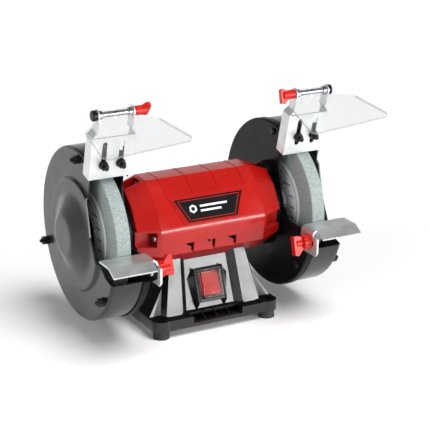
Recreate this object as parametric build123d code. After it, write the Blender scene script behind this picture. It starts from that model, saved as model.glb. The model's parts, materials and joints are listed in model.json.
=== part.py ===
from build123d import *
from math import cos, radians, sin, tan
import os

# A bench grinder. +X runs along the spindle to the right, +Y to the back, +Z up. The origin is the
# middle of the four base holes, on the surface that the machine stands on. All sizes in millimetres.

# ---------------------------------------------------------------- driving sizes
AXLE_HEIGHT = 114.0        # spindle centre above the surface
SLIDE_GAP = 0.3            # air between pieces that slide past each other
TURN_GAP = 0.05            # radial clearance of a turning fit
SHEET = 1.5                # guard and bracket sheet steel

# wheels and spindle
WHEEL_RADIUS = 75.0
WHEEL_WIDTH = 16.0
WHEEL_MIDDLE = 117.5       # wheel's centre plane, from the middle of the machine
BLOTTER_RADIUS = 48.0
BLOTTER = 0.6              # paper thickness
FLANGE_RADIUS = 25.0
INNER_FLANGE = 8.6         # thickness of the flange behind the wheel
OUTER_FLANGE = 5.0
SPINDLE_RADIUS = 6.35
JOURNAL_RADIUS = 7.5
CORE_SHAFT_RADIUS = 9.0
THREAD_RADIUS = 5.9
NUT_FLATS = 19.0
NUT_LENGTH = 10.0
SPINDLE_TAIL = 5.0         # spindle beyond the nut

# bearings
BEARING_RADIUS = 17.5
BEARING_WIDTH = 11.0
BEARING_START = 78.0
BALL_RADIUS = 2.35
BALL_COUNT = 8

# motor
MOTOR_HALF = 63.0          # half length of the middle shell
CAP_END = 87.0             # outer face of an end cap
CAP_TAPER = 0.84           # end cap's outer section over its inner one
SHELL_WALL = 2.5
MOTOR_DEPTH = 46.0         # axle to the flat underside
STATOR_HALF = 20.0
STATOR_BORE = 25.0
AIR_GAP = 0.5
WINDING_REACH = 18.0
STATOR_RIB = 3.0
CAP_SCREW_CIRCLE = 43.0
POCKET_HALF = 8.5
POCKET_FLOOR = 67.0
SHIELD_NECK = 30.0
SCREW_RADIUS = 2.0
CAP_SCREW_ANGLES = (0, 95, 180, 265)
WIRE_HOLE = 7.0
BASE_SCREWS = [(x, y) for x in (-28, 28) for y in (-8, 8)]
BADGE_TOP_HALF = 41.5      # half of the badge's upper edge
BADGE_FOOT_HALF = 29.5
BADGE_HIGH = 11.5          # its upper and lower edges, from the facet's middle
BADGE_LOW = -14.5
BADGE_THICK = 1.2
BADGE_SUNK = 0.3           # its face below the frame's
FRAME_PAD = 0.8            # first step of the frame round the badge
FRAME_STEP = 0.6           # second step
RIB_PROUD = 0.5
LOUVRE_PITCH = 26.0
LOUVRE_DEPTH = 2.4
LOUVRE_TOP = -13.0         # from the axle
LOUVRE_FOOT = -27.0

# guards
GUARD_PLATE = 94.8         # motor-side face of an inner guard
GUARD_MARGIN = 20.6        # guard's radius over the wheel's
INNER_BAND = 8.6           # width of the inner guard's band
BAND_GAP = 0.6
COVER_FACE = 138.8         # flat outer face of a cover
COVER_STEP = 3.5           # height of the cover's raised middle
STEP_RADIUS = 60.0
DOME_FOOT = 45.0
DOME_TOP = 22.0
DOME_FACE = 154.5
DOME_ROUND = 14.0
RIM_ROUND = 3.5            # round of the cover's outer rim
LOBE_CIRCLE = 40.0
LOBE_RADIUS = 9.5
LOBE_ANGLES = (0, 180)
COVER_SCREW_INSET = 8.9
COVER_SCREW_ANGLES = (8, 128, 248)

# spark brackets and eye shields
BRACKET_LEAN = 15.0
BRACKET_ANGLE = 30.0       # where its lower edge stands, from the top of the wheel
BRACKET_WHEEL_GAP = 1.2
BRACKET_HEIGHT = 48.5
BRACKET_INNER = 91.5
BRACKET_DEPTH = 15.0
SLOT_WIDTH = 5.6
SLOT_LENGTH = 32.0
SLOT_BOTTOM = 11.0         # slot's lower end above the bracket's lower edge
SLOT_SPACING = 19.3
BOLT_UP = 21.8             # guard bolts above the bracket's lowest place
LEFT_RAISED = 5.0          # how far up its slots the left bracket stands
ROD_UP = 72.7              # hinge rod above the bracket's lower edge
ROD_BACK = 5.5             # and behind its front face
ROD_RADIUS = 2.9
EAR_RADIUS = 6.5
EAR_INSET = 4.3            # an ear's step towards the bracket's middle
EAR_STEP = 6.0             # height over which it steps in
BARREL_RADIUS = 4.5
BARREL_GAP = 5.0           # bare rod between the two barrels
COLLAR = 4.0
ROD_HEAD = 3.0
TAB_THICK = 2.0            # plate behind the bracket that holds its bolts
SHIELD_THICK = 3.0
SHIELD_TILT = 25.0         # how far the shield slopes down towards the user
EAR_NOTCH = 14.0           # notches that let the shield swing past the ears
EAR_NOTCH_GAP = 0.6
SHIELD_SHIFT = 3.0         # how far each shield stands outwards from its bracket's middle

# tool rests
REST_WHEEL_GAP = 4.2
REST_DROP = 3.0            # rest's top below the axle
REST_THICK = 2.0
REST_DEPTH = 23.8
REST_OUTER = 147.5
LIP_LENGTH = 13.9
LIP_ANGLE = 30.0
REST_BEND = 6.0            # outside radius of the bend
FLAP_DROP = 27.5
REST_SLOT_WIDTH = 7.0
REST_SLOT_LENGTH = 22.5
REST_BOLT_RADIUS = 3.0
REST_BOLT_DROP = 17.0
REST_BOLT_FORWARD = 20.0   # bolt in front of the wheel's face

# clamp knobs
SHIELD_KNOB_LENGTH = 17.0
SHIELD_KNOB_HUB = 6.5
SHIELD_KNOB_RADIUS = 5.0
SHIELD_WING = (9.5, 7.0)   # reach of the wing's two ends from the rod
SHIELD_WING_THICK = 5.0
REST_KNOB_LENGTH = 19.5
REST_KNOB_HUB = 8.5
REST_KNOB_RADIUS = 8.6
REST_WING = (13.5, 8.5)
REST_WING_THICK = 7.5

# base
FLANGE_HALF_X = 76.5
FLANGE_HALF_Y = 62.3
FLANGE_TOP = 20.5
FLANGE_BOTTOM = 9.0
HOLE_X = 65.5              # mounting holes, from the middle
HOLE_Y = 53.4
HOLE_RADIUS = 3.3
BOSS_RADIUS = 11.0
FOOT_RADIUS = 9.2
BASE_WALL = 3.0
BODY_FOOT_X = 74.5
BODY_FOOT_Y = 43.3
BODY_TOP_X = 36.0
BODY_TOP_Y = 28.3
BODY_TOP_DROP = 35.5       # where the top sizes are taken, below the axle
PANEL_PROUD = 7.5          # how far the side panels stand out
SWITCH_LEAN = 20.0
SWITCH_WIDTH = 31.5
SWITCH_HEIGHT = 36.8
SWITCH_UP = 46.8           # centre of the switch above the surface
SWITCH_FORWARD = 44.3
SWITCH_BODY_X = 12.9
SWITCH_BODY_Y = 14.5
FRAME_RIM = 3.0
ROCKER_X = 11.2
ROCKER_Y = 12.0
ROCKER_PIVOT = -5.0        # pivot below the frame's face
ROCKER_TILT = 8.0
ROCKER_AXLE = 1.5
COVER_WALL = 0.8
COVER_HIGH = 5.5
FOOT_STUB = 6.5
PLATE = 1.5
PLATE_SCREW_X = 40.0
PLATE_SCREW_Y = 51.5
GLAND_UP = 36.0
GLAND_RADIUS = 6.5
GLAND_BORE = 4.0
GLAND_SEAT_IN = 7.0        # the seats of its two flanges, from the sloping wall
GLAND_SEAT_OUT = 4.0
CAPACITOR_RADIUS = 15.0
CAPACITOR_LENGTH = 52.0
CAPACITOR_Y = 10.0
LEAD_RADIUS = 1.3

# ---------------------------------------------------------------- worked-out places
GUARD_RADIUS = WHEEL_RADIUS + GUARD_MARGIN
COVER_RADIUS = GUARD_RADIUS - 1.3
COVER_START = GUARD_PLATE + INNER_BAND + BAND_GAP
WHEEL_IN = WHEEL_MIDDLE - WHEEL_WIDTH / 2
WHEEL_OUT = WHEEL_MIDDLE + WHEEL_WIDTH / 2
FLANGE_IN = WHEEL_IN - BLOTTER - INNER_FLANGE
FLANGE_OUT = WHEEL_OUT + BLOTTER + OUTER_FLANGE
SPINDLE_END = FLANGE_OUT + NUT_LENGTH + SPINDLE_TAIL
STATOR_RADIUS = MOTOR_DEPTH - SHELL_WALL - 1.5
ROTOR_RADIUS = STATOR_BORE - AIR_GAP
BRACKET_OUTER = COVER_FACE + 0.5 + SHEET
BRACKET_MIDDLE = (BRACKET_INNER + BRACKET_OUTER) / 2
EAR_INNER = BRACKET_INNER + EAR_INSET
EAR_OUTER = BRACKET_OUTER - EAR_INSET
TAB_BACK = SHEET + SLIDE_GAP + TAB_THICK
TAB_END = COVER_FACE - SHEET - 0.6 - BRACKET_MIDDLE      # from the bracket's middle
BALL_CIRCLE = (BEARING_RADIUS + JOURNAL_RADIUS + 0.8) / 2
BADGE_BASE = FRAME_PAD + FRAME_STEP - BADGE_SUNK - BADGE_THICK
SADDLE_BOSS_TOP = AXLE_HEIGHT - MOTOR_DEPTH + 6.5
CAPACITOR_Z = FLANGE_BOTTOM + PLATE + CAPACITOR_RADIUS + 4
REST_BOLT_Y = -(WHEEL_RADIUS + REST_BOLT_FORWARD)
REST_BACK = -(WHEEL_RADIUS + REST_WHEEL_GAP)
FLAP_FACE = GUARD_PLATE - SLIDE_GAP          # wheel-side face of a rest's flap
COVER_SCREW_CIRCLE = COVER_RADIUS - COVER_SCREW_INSET + 1.3

# front half of the motor's cross-section, (forward, up) from the axle
SECTION = [
    (0, 52), (13, 51.5), (33, 36.5), (50, 7.5), (51.5, 0), (47.5, -24.5), (29, -40), (14, -MOTOR_DEPTH),
]
# edge of the guard's opening, (forward, up) from the axle, as shares of the guard's radius
OPENING = [
    (0.52, 1.2), (0.448, 0.90), (0.39, 0.69), (0.36, 0.52), (0.465, 0.105), (0.59, -0.146),
    (0.774, -0.272), (0.994, -0.33), (1.5, -0.50), (1.5, 1.2),
]
# the same for the inner guard, whose edge stands further back
INNER_OPENING = [
    (0.52, 1.2), (0.35, 0.92), (0.28, 0.69), (0.255, 0.52), (0.36, 0.105), (0.52, -0.10),
    (0.774, -0.272), (0.994, -0.33), (1.5, -0.50), (1.5, 1.2),
]
# the eye shield's outline: (along the rod from its middle, forward of the rod)
SHIELD_OUTLINE = [
    (-37.5, 20), (-22, 8.6), (19, 6.6), (46, 13), (68, 48.5), (65, 54), (-31, 64.5), (-36, 60),
]


# ---------------------------------------------------------------- helpers
def bar_x(radius, x_low, x_high, y=0.0, z=AXLE_HEIGHT):
    """Round bar along X."""
    return Pos((x_low + x_high) / 2, y, z) * Rot(0, 90, 0) * Cylinder(radius, x_high - x_low)


def bar_z(radius, z_low, z_high, x=0.0, y=0.0):
    """Round bar along Z."""
    return Pos(x, y, (z_low + z_high) / 2) * Cylinder(radius, z_high - z_low)


def bar_y(radius, y_low, y_high, x, z):
    """Round bar along Y."""
    return Pos(x, (y_low + y_high) / 2, z) * Rot(90, 0, 0) * Cylinder(radius, y_high - y_low)


def hex_x(flats, x_low, x_high, y=0.0, z=AXLE_HEIGHT):
    """Hexagon bar along X."""
    face = Plane(origin=(x_low, y, z), x_dir=(0, 1, 0), z_dir=(1, 0, 0)) * RegularPolygon(
        flats / 2, 6, major_radius=False)
    return extrude(face, x_high - x_low)


def block(low, high):
    """Box between two corners."""
    size = [b - a for a, b in zip(low, high)]
    middle = [(a + b) / 2 for a, b in zip(low, high)]
    return Pos(*middle) * Box(*size)


def prism_x(points, x_low, x_high):
    """Polygon of (y, z) points, drawn out along X."""
    face = make_face(Polyline(*[(x_low, y, z) for y, z in points], close=True))
    return extrude(face, x_high - x_low, dir=(1, 0, 0))


def turned(outline):
    """Closed outline of (x, radius) points, turned about the spindle."""
    face = make_face(Polyline(*[(x, 0, AXLE_HEIGHT + r) for x, r in outline], close=True))
    return revolve(face, Axis((0, 0, AXLE_HEIGHT), (1, 0, 0)), 360)


def around(radius, angle):
    """(y, z) at a radius from the axle, at an angle from the top towards the front."""
    return -radius * sin(radians(angle)), AXLE_HEIGHT + radius * cos(radians(angle))


def turned_about(piece, angle):
    """A piece turned about the spindle, from the top towards the front."""
    return piece.rotate(Axis((0, 0, AXLE_HEIGHT), (1, 0, 0)), angle)


def left(piece):
    """The same piece on the left side."""
    return mirror(piece, about=Plane.YZ)


def both(piece):
    """A right-hand piece and its mirror image, as separate solids."""
    return Compound(children=[*piece.solids(), *left(piece).solids()])


def group(pieces):
    """Several pieces of one kind, as separate solids."""
    return Compound(children=[solid for piece in pieces for solid in piece.solids()])


# ---------------------------------------------------------------- motor housing
def section_face(x, factor=1.0, wall=0.0):
    """The motor's cross-section at x, scaled about the axle, with its wall taken off."""
    front = [(-y * factor, z * factor) for y, z in SECTION]
    back = [(y * factor, z * factor) for y, z in reversed(SECTION) if y > 0]
    points = [(x, y, AXLE_HEIGHT + z) for y, z in front + back]
    face = make_face(Polyline(*points, close=True))
    if wall:
        face = offset(face, -wall, kind=Kind.INTERSECTION)
    return face


def motor_prism(x_low, x_high, wall=0.0):
    return extrude(section_face(x_low, wall=wall), x_high - x_low, dir=(1, 0, 0))


def badge_plane():
    """Plane of the front facet: x along the machine, y up the facet, z outwards."""
    top, foot = SECTION[2], SECTION[3]
    run = foot[0] - top[0]
    rise = top[1] - foot[1]
    length = (run ** 2 + rise ** 2) ** 0.5
    middle = ((top[0] + foot[0]) / 2, (top[1] + foot[1]) / 2)
    origin = (0, -middle[0], AXLE_HEIGHT + middle[1])
    return Plane(origin=origin, x_dir=(1, 0, 0), z_dir=(0, -rise / length, run / length))


def badge_outline(grow, grow_low):
    """The badge's shape, grown by one margin at its top and sides and another at its foot."""
    top, foot = BADGE_TOP_HALF + 1.3 * grow, BADGE_FOOT_HALF + grow
    high, low = BADGE_HIGH + grow, BADGE_LOW - grow_low
    return badge_plane() * make_face(Polyline(
        (-top, high), (top, high), (foot, low), (-foot, low), close=True))


def badge_frame():
    """Two-step raised frame on the front facet, with its seat for the badge."""
    frame = extrude(badge_outline(4.6, 2.0), FRAME_PAD) + extrude(badge_outline(4.6, 2.0), -1)
    frame += extrude(badge_outline(2.0, 1.0), FRAME_PAD + FRAME_STEP)
    return frame - extrude(badge_outline(0.15, 0.15), FRAME_PAD + FRAME_STEP + 1) - extrude(
        badge_outline(0.15, 0.15), -1)


def motor_shell():
    shell = motor_prism(-MOTOR_HALF, MOTOR_HALF)
    for x in (-48, -16, 16, 48):
        shell += rib_over_top(x)
    shell -= motor_prism(-MOTOR_HALF - 1, MOTOR_HALF + 1, wall=SHELL_WALL)
    for x in (-STATOR_HALF + 4, 0, STATOR_HALF - 4):
        shell += stator_rib(x)
    shell += badge_frame()
    shell -= extrude(badge_outline(0.15, 0.15), BADGE_BASE)
    shell += badge_backing()
    for angle in CAP_SCREW_ANGLES:
        y, z = around(CAP_SCREW_CIRCLE, angle)
        web = block((MOTOR_HALF - 14, -3, AXLE_HEIGHT + CAP_SCREW_CIRCLE), (MOTOR_HALF, 3, AXLE_HEIGHT + 60))
        boss = bar_x(4.2, MOTOR_HALF - 14, MOTOR_HALF, y, z) + turned_about(web, angle)
        boss &= motor_prism(-MOTOR_HALF, MOTOR_HALF)
        shell += boss + left(boss)
        hole = bar_x(SCREW_RADIUS, MOTOR_HALF - 12, MOTOR_HALF + 1, y, z)
        shell -= hole + left(hole)
    for x, y in BASE_SCREWS:
        shell += bar_z(3.8, AXLE_HEIGHT - MOTOR_DEPTH + 1, SADDLE_BOSS_TOP, x, y)
        shell -= bar_z(SCREW_RADIUS, AXLE_HEIGHT - MOTOR_DEPTH - 1, SADDLE_BOSS_TOP - 1, x, y)
    shell -= bar_z(WIRE_HOLE, AXLE_HEIGHT - MOTOR_DEPTH - 1, AXLE_HEIGHT - MOTOR_DEPTH + SHELL_WALL + 1)
    for index in (-1, 0, 1):
        shell -= louvre(3 + LOUVRE_PITCH * index)
    return shell


def rib_over_top(x):
    """Thin rib across the upper facets."""
    rib = extrude(section_face(x - 0.6, factor=1 + RIB_PROUD / SECTION[0][1]), 1.2, dir=(1, 0, 0))
    return rib & block((x - 2, -33.6, AXLE_HEIGHT + 33), (x + 2, 33.6, AXLE_HEIGHT + 60))


def stator_rib(x):
    """Inside rib that carries the stator."""
    rib = motor_prism(x - STATOR_RIB / 2, x + STATOR_RIB / 2, wall=SHELL_WALL - 0.5)
    return rib - bar_x(STATOR_RADIUS, x - STATOR_RIB, x + STATOR_RIB)


def badge_backing():
    """Inside thickening behind the badge."""
    pad = extrude(badge_outline(3, 1), -SHELL_WALL - 1)
    return (pad & motor_prism(-MOTOR_HALF, MOTOR_HALF)) - bar_x(STATOR_RADIUS + 0.5, -60, 60)


def louvre(x):
    """Wedge sunk in the lower front and back facets, which ends in an upright air slot at x."""
    face = -SECTION[5][0] - 0.6
    start = x - LOUVRE_PITCH + 2
    plan = make_face(Polyline((start, face - 5, AXLE_HEIGHT + LOUVRE_FOOT), (start, face, AXLE_HEIGHT + LOUVRE_FOOT),
                              (x, face + LOUVRE_DEPTH, AXLE_HEIGHT + LOUVRE_FOOT),
                              (x, face - 5, AXLE_HEIGHT + LOUVRE_FOOT), close=True))
    wedge = extrude(plan, LOUVRE_TOP - LOUVRE_FOOT, dir=(0, 0, 1))
    slot = block((x - 2, face, AXLE_HEIGHT + LOUVRE_FOOT + 4), (x, face + 6, AXLE_HEIGHT + LOUVRE_TOP))
    cut = wedge + slot
    return cut + mirror(cut, about=Plane.XZ)


def badge_plate():
    """Trapezoid plate that sits in the frame on the front facet."""
    plate = extrude(badge_outline(0, 0), BADGE_BASE + BADGE_THICK)
    return plate - extrude(badge_outline(1, 1), BADGE_BASE)


def end_cap():
    """Right end cap: tapers outwards, with four screw pockets and an opening for the end shield."""
    outer = loft([section_face(MOTOR_HALF), section_face(CAP_END, CAP_TAPER)], ruled=True)
    inner = loft([section_face(MOTOR_HALF - 0.01, 1.0, SHELL_WALL),
                  section_face(CAP_END - SHELL_WALL, 0.5 + CAP_TAPER / 2 - 0.06, SHELL_WALL)], ruled=True)
    cap = outer - inner
    for angle in CAP_SCREW_ANGLES:
        cap += pocket(angle, POCKET_HALF + 2, MOTOR_HALF, 34.5) & outer
    for angle in CAP_SCREW_ANGLES:
        cap -= pocket(angle, POCKET_HALF, POCKET_FLOOR, 36.5)
        y, z = around(CAP_SCREW_CIRCLE, angle)
        cap -= bar_x(SCREW_RADIUS, MOTOR_HALF - 1, POCKET_FLOOR + 1, y, z)
    return cap - bar_x(SHIELD_NECK, MOTOR_HALF - 1, CAP_END + 1)


def pocket(angle, half, x_low, reach):
    """Box round one screw place, open outwards."""
    box = block((x_low, -half, AXLE_HEIGHT + reach), (CAP_END + 1, half, AXLE_HEIGHT + 70))
    return turned_about(box, angle)


def cap_screws():
    """Four pan-head screws that hold the right end cap."""
    screws = []
    for angle in CAP_SCREW_ANGLES:
        y, z = around(CAP_SCREW_CIRCLE, angle)
        head = bar_x(3.8, POCKET_FLOOR, POCKET_FLOOR + 2.6, y, z)
        head = fillet(head.edges().filter_by(GeomType.CIRCLE).sort_by(Axis.X)[-1], 1.2)
        head -= cross_recess(POCKET_FLOOR + 2.6, y, z)
        screws.append(head + bar_x(SCREW_RADIUS, MOTOR_HALF - 12, POCKET_FLOOR, y, z))
    return group(screws)


def cross_recess(x_face, y, z, size=3.6, depth=1.2, slot=0.9):
    """Cross-shaped driver recess in a face that looks along +X."""
    bar = block((x_face - depth, y - size / 2, z - slot / 2), (x_face + 1, y + size / 2, z + slot / 2))
    post = block((x_face - depth, y - slot / 2, z - size / 2), (x_face + 1, y + slot / 2, z + size / 2))
    return bar + post


def end_shield():
    """Right bearing bracket: neck in the cap, two lobes that carry the guard."""
    shield = bar_x(SHIELD_NECK, BEARING_START - 2, CAP_END)
    shield += bar_x(SHIELD_NECK + 3, CAP_END, GUARD_PLATE)
    for angle in LOBE_ANGLES:
        y, z = around(LOBE_CIRCLE, angle)
        shield += bar_x(LOBE_RADIUS, CAP_END, GUARD_PLATE, y, z)
        shield -= bar_x(SCREW_RADIUS, CAP_END + 1, GUARD_PLATE + 1, y, z)
    shield -= bar_x(BEARING_RADIUS, BEARING_START - 3, BEARING_START + BEARING_WIDTH)
    shield -= bar_x(JOURNAL_RADIUS + 1.5, BEARING_START, GUARD_PLATE + 1)
    ring = bar_x(SHIELD_NECK - 2.5, BEARING_START - 3, CAP_END + 3) - bar_x(
        BEARING_RADIUS + 3.5, BEARING_START - 4, CAP_END + 4)
    return shield - ring


# ---------------------------------------------------------------- motor inside
def stator_core():
    core = bar_x(STATOR_RADIUS, -STATOR_HALF, STATOR_HALF) - bar_x(
        STATOR_BORE, -STATOR_HALF - 1, STATOR_HALF + 1)
    for index in range(24):
        y, z = around(STATOR_BORE, index * 15 + 7.5)
        core -= bar_x(1.2, -STATOR_HALF - 1, STATOR_HALF + 1, y, z)
    return core


def stator_windings():
    """Copper end turns on both sides of the stator core."""
    ring = bar_x(STATOR_RADIUS - 3, STATOR_HALF, STATOR_HALF + WINDING_REACH) - bar_x(
        STATOR_BORE + 3, STATOR_HALF - 1, STATOR_HALF + WINDING_REACH + 1)
    ring = fillet(ring.edges().filter_by(GeomType.CIRCLE).sort_by(Axis.X)[-2:], 4)
    return both(ring)


def rotor_core():
    return bar_x(ROTOR_RADIUS, -STATOR_HALF - 1, STATOR_HALF + 1) - bar_x(
        CORE_SHAFT_RADIUS, -STATOR_HALF - 2, STATOR_HALF + 2)


def rotor_rings():
    """Cast end rings of the rotor cage, with cooling blades."""
    start, end = STATOR_HALF + 1, STATOR_HALF + 6
    ring = bar_x(ROTOR_RADIUS, start, end) - bar_x(CORE_SHAFT_RADIUS + 5, start - 1, end + 1)
    for index in range(8):
        blade = block((end - 0.5, -1, AXLE_HEIGHT + 15), (end + 8, 1, AXLE_HEIGHT + ROTOR_RADIUS - 1))
        ring += turned_about(blade, index * 45)
    return both(ring)


def spindle():
    shaft = bar_x(CORE_SHAFT_RADIUS, -BEARING_START, BEARING_START)
    half = bar_x(JOURNAL_RADIUS, BEARING_START, FLANGE_IN)
    half += bar_x(SPINDLE_RADIUS, FLANGE_IN, FLANGE_OUT)
    tail = bar_x(THREAD_RADIUS, FLANGE_OUT, SPINDLE_END)
    half += chamfer(tail.edges().filter_by(GeomType.CIRCLE).sort_by(Axis.X)[-1], 1.2)
    return shaft + half + left(half)


def bearing_outer_ring():
    end = BEARING_START + BEARING_WIDTH
    return bar_x(BEARING_RADIUS, BEARING_START, end) - bar_x(
        BALL_CIRCLE + BALL_RADIUS + TURN_GAP, BEARING_START - 1, end + 1)


def bearing_inner_ring():
    end = BEARING_START + BEARING_WIDTH
    return bar_x(BALL_CIRCLE - BALL_RADIUS, BEARING_START, end) - bar_x(
        JOURNAL_RADIUS, BEARING_START - 1, end + 1)


def bearing_balls():
    balls = []
    for index in range(BALL_COUNT):
        y, z = around(BALL_CIRCLE, index * 360 / BALL_COUNT)
        balls.append(Pos(BEARING_START + BEARING_WIDTH / 2, y, z) * Sphere(BALL_RADIUS))
    return group(balls)


def wave_washer():
    """Spring washer between the left bearing and its seat's lip, shown pressed flat."""
    thick = 0.8
    ring = bar_x(BEARING_RADIUS - 0.5, BEARING_START - thick, BEARING_START) - bar_x(
        BEARING_RADIUS - 3.5, BEARING_START - 2, BEARING_START + 1)
    return left(ring)


# ---------------------------------------------------------------- wheels
def grinding_wheel():
    wheel = bar_x(WHEEL_RADIUS, WHEEL_IN, WHEEL_OUT)
    wheel = chamfer(wheel.edges().filter_by(GeomType.CIRCLE), 0.8)
    return wheel - bar_x(SPINDLE_RADIUS + 0.05, WHEEL_IN - 1, WHEEL_OUT + 1)


def wheel_blotters():
    discs = []
    for start in (WHEEL_IN - BLOTTER, WHEEL_OUT):
        disc = bar_x(BLOTTER_RADIUS, start, start + BLOTTER)
        discs.append(disc - bar_x(SPINDLE_RADIUS + 0.05, start - 1, start + BLOTTER + 1))
    return group(discs)


def inner_flange():
    """Dished washer behind the wheel."""
    end = WHEEL_IN - BLOTTER
    washer = turned([(FLANGE_IN, SPINDLE_RADIUS), (FLANGE_IN, 15), (FLANGE_IN + 3, FLANGE_RADIUS),
                     (end, FLANGE_RADIUS), (end, FLANGE_RADIUS - 8), (end - 1, FLANGE_RADIUS - 8.5),
                     (end - 1, SPINDLE_RADIUS)])
    return washer


def outer_flange():
    start, end = WHEEL_OUT + BLOTTER, FLANGE_OUT
    return turned([(start + 1, SPINDLE_RADIUS), (start + 1, FLANGE_RADIUS - 8.5), (start, FLANGE_RADIUS - 8),
                   (start, FLANGE_RADIUS), (end - 2.5, FLANGE_RADIUS), (end, FLANGE_RADIUS - 5),
                   (end, SPINDLE_RADIUS)])


def spindle_nut():
    nut = hex_x(NUT_FLATS, FLANGE_OUT, FLANGE_OUT + NUT_LENGTH)
    cone = turned([(FLANGE_OUT, 0), (FLANGE_OUT, NUT_FLATS), (FLANGE_OUT + NUT_LENGTH - 3, NUT_FLATS / 2 + 2.2),
                   (FLANGE_OUT + NUT_LENGTH, NUT_FLATS / 2 - 0.2), (FLANGE_OUT + NUT_LENGTH, 0)])
    return (nut & cone) - bar_x(THREAD_RADIUS, FLANGE_OUT - 1, FLANGE_OUT + NUT_LENGTH + 1)


# ---------------------------------------------------------------- guards
def opening_prism(shares):
    """What the opening takes from a guard, from its edge's points as shares of the guard's radius."""
    points = [(-y * GUARD_RADIUS, AXLE_HEIGHT + z * GUARD_RADIUS) for y, z in shares]
    return prism_x(points, GUARD_PLATE - 5, DOME_FACE + 5)


def inner_guard():
    """Right inner guard: disc with a short band, an ear for the tool rest and a tab for the bracket."""
    end = GUARD_PLATE + INNER_BAND
    drum = bar_x(GUARD_RADIUS, GUARD_PLATE, end)
    drum = fillet(drum.edges().filter_by(GeomType.CIRCLE).sort_by(Axis.X)[0], 2.4)
    core = bar_x(GUARD_RADIUS - SHEET, GUARD_PLATE + SHEET, end + 1)
    core = fillet(core.edges().filter_by(GeomType.CIRCLE).sort_by(Axis.X)[0], 1.0)
    guard = (drum - core) - opening_prism(INNER_OPENING)
    start = GUARD_PLATE + SHEET - BRACKET_MIDDLE
    guard -= bracket_plane() * block((start, 3, -TAB_BACK - 7), (0, 45, 10))
    guard += rest_ear() + bracket_tab()
    guard -= bar_x(SPINDLE_RADIUS + 9, GUARD_PLATE - 1, GUARD_PLATE + SHEET + 1)
    for angle in LOBE_ANGLES:
        y, z = around(LOBE_CIRCLE, angle)
        guard -= bar_x(SCREW_RADIUS, GUARD_PLATE - 1, GUARD_PLATE + SHEET + 1, y, z)
    for angle in COVER_SCREW_ANGLES:
        y, z = around(COVER_SCREW_CIRCLE, angle)
        guard -= bar_x(SCREW_RADIUS, GUARD_PLATE - 1, GUARD_PLATE + SHEET + 1, y, z)
    return guard


def rest_ear():
    """Part of the inner guard's plate that reaches forward and carries the tool rest bolt."""
    front = REST_BOLT_Y - 10
    top = AXLE_HEIGHT - REST_DROP - REST_THICK - 3
    foot = AXLE_HEIGHT - REST_BOLT_DROP - 9
    corner = AXLE_HEIGHT - 0.34 * GUARD_RADIUS
    ear = prism_x([(-0.42 * GUARD_RADIUS, top), (front + 3, top), (front, top - 3), (front, foot + 3),
                   (front + 4, foot), (-0.93 * GUARD_RADIUS, corner), (-0.62 * GUARD_RADIUS, corner)],
                  GUARD_PLATE, GUARD_PLATE + SHEET)
    bolt_z = AXLE_HEIGHT - REST_BOLT_DROP
    return ear - bar_x(REST_BOLT_RADIUS, GUARD_PLATE - 1, GUARD_PLATE + SHEET + 1, REST_BOLT_Y, bolt_z)


def bracket_plane(raised=0.0):
    """The bracket's front face: x along the machine, y up the face, z to the front."""
    reach = WHEEL_RADIUS + BRACKET_WHEEL_GAP
    lean = radians(BRACKET_LEAN)
    y, z = around(reach, BRACKET_ANGLE)
    y -= SHEET * cos(lean)
    z -= SHEET * sin(lean)
    origin = (BRACKET_MIDDLE, y - raised * sin(lean), z + raised * cos(lean))
    return Plane(origin=origin, x_dir=(1, 0, 0), z_dir=(0, -cos(lean), -sin(lean)))


def bracket_tab():
    """Cross plate behind the spark bracket that holds its two bolts."""
    start = GUARD_PLATE + SHEET - 0.5 - BRACKET_MIDDLE
    tab = block((start, 6, -TAB_BACK), (TAB_END, 34, -TAB_BACK + TAB_THICK))
    web = block((start - SHEET + 0.5, 2, -TAB_BACK - 14), (start + 0.5, 30, -TAB_BACK + TAB_THICK))
    tab += web
    for x in (-SLOT_SPACING / 2, SLOT_SPACING / 2):
        tab -= Pos(x, BOLT_UP, -TAB_BACK) * Cylinder(2.4, 10)
    return bracket_plane() * tab


def dome(inset):
    """The cover's outside as a solid, or its inside at a sheet's thickness."""
    slope = 0.45 * inset
    raised = COVER_FACE + COVER_STEP - inset
    solid = turned([(COVER_START, 0), (COVER_START, COVER_RADIUS - inset),
                    (COVER_FACE - inset, COVER_RADIUS - inset), (COVER_FACE - inset, STEP_RADIUS + 2 - slope),
                    (raised, STEP_RADIUS - slope), (raised, DOME_FOOT - slope),
                    (DOME_FACE - inset, DOME_TOP - slope), (DOME_FACE - inset, 0)])
    rounds = [(COVER_FACE - inset, COVER_RADIUS - inset, RIM_ROUND - inset),
              (COVER_FACE - inset, STEP_RADIUS + 2 - slope, 2.0 + inset / 2),
              (raised, STEP_RADIUS - slope, 2.6 - inset / 2), (raised, DOME_FOOT - slope, DOME_ROUND),
              (DOME_FACE - inset, DOME_TOP - slope, DOME_ROUND)]
    for x, radius, size in rounds:
        ring = [e for e in solid.edges().filter_by(GeomType.CIRCLE)
                if abs(e.center().X - x) < 0.05 and abs(e.radius - radius) < 0.05]
        solid = fillet(ring, size)
    return solid


def guard_cover():
    """Right outer cover: band, flat ring, raised middle and dome over the spindle nut."""
    cover = dome(0) - dome(SHEET) - opening_prism(OPENING)
    notch = block((-30, 3, -TAB_BACK - 7), (TAB_END + SLIDE_GAP, 45, 10))
    cover -= bracket_plane() * notch
    for angle in COVER_SCREW_ANGLES:
        y, z = around(COVER_SCREW_CIRCLE, angle)
        cover -= bar_x(SCREW_RADIUS, COVER_FACE - SHEET - 1, COVER_FACE + 1, y, z)
    return cover


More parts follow.
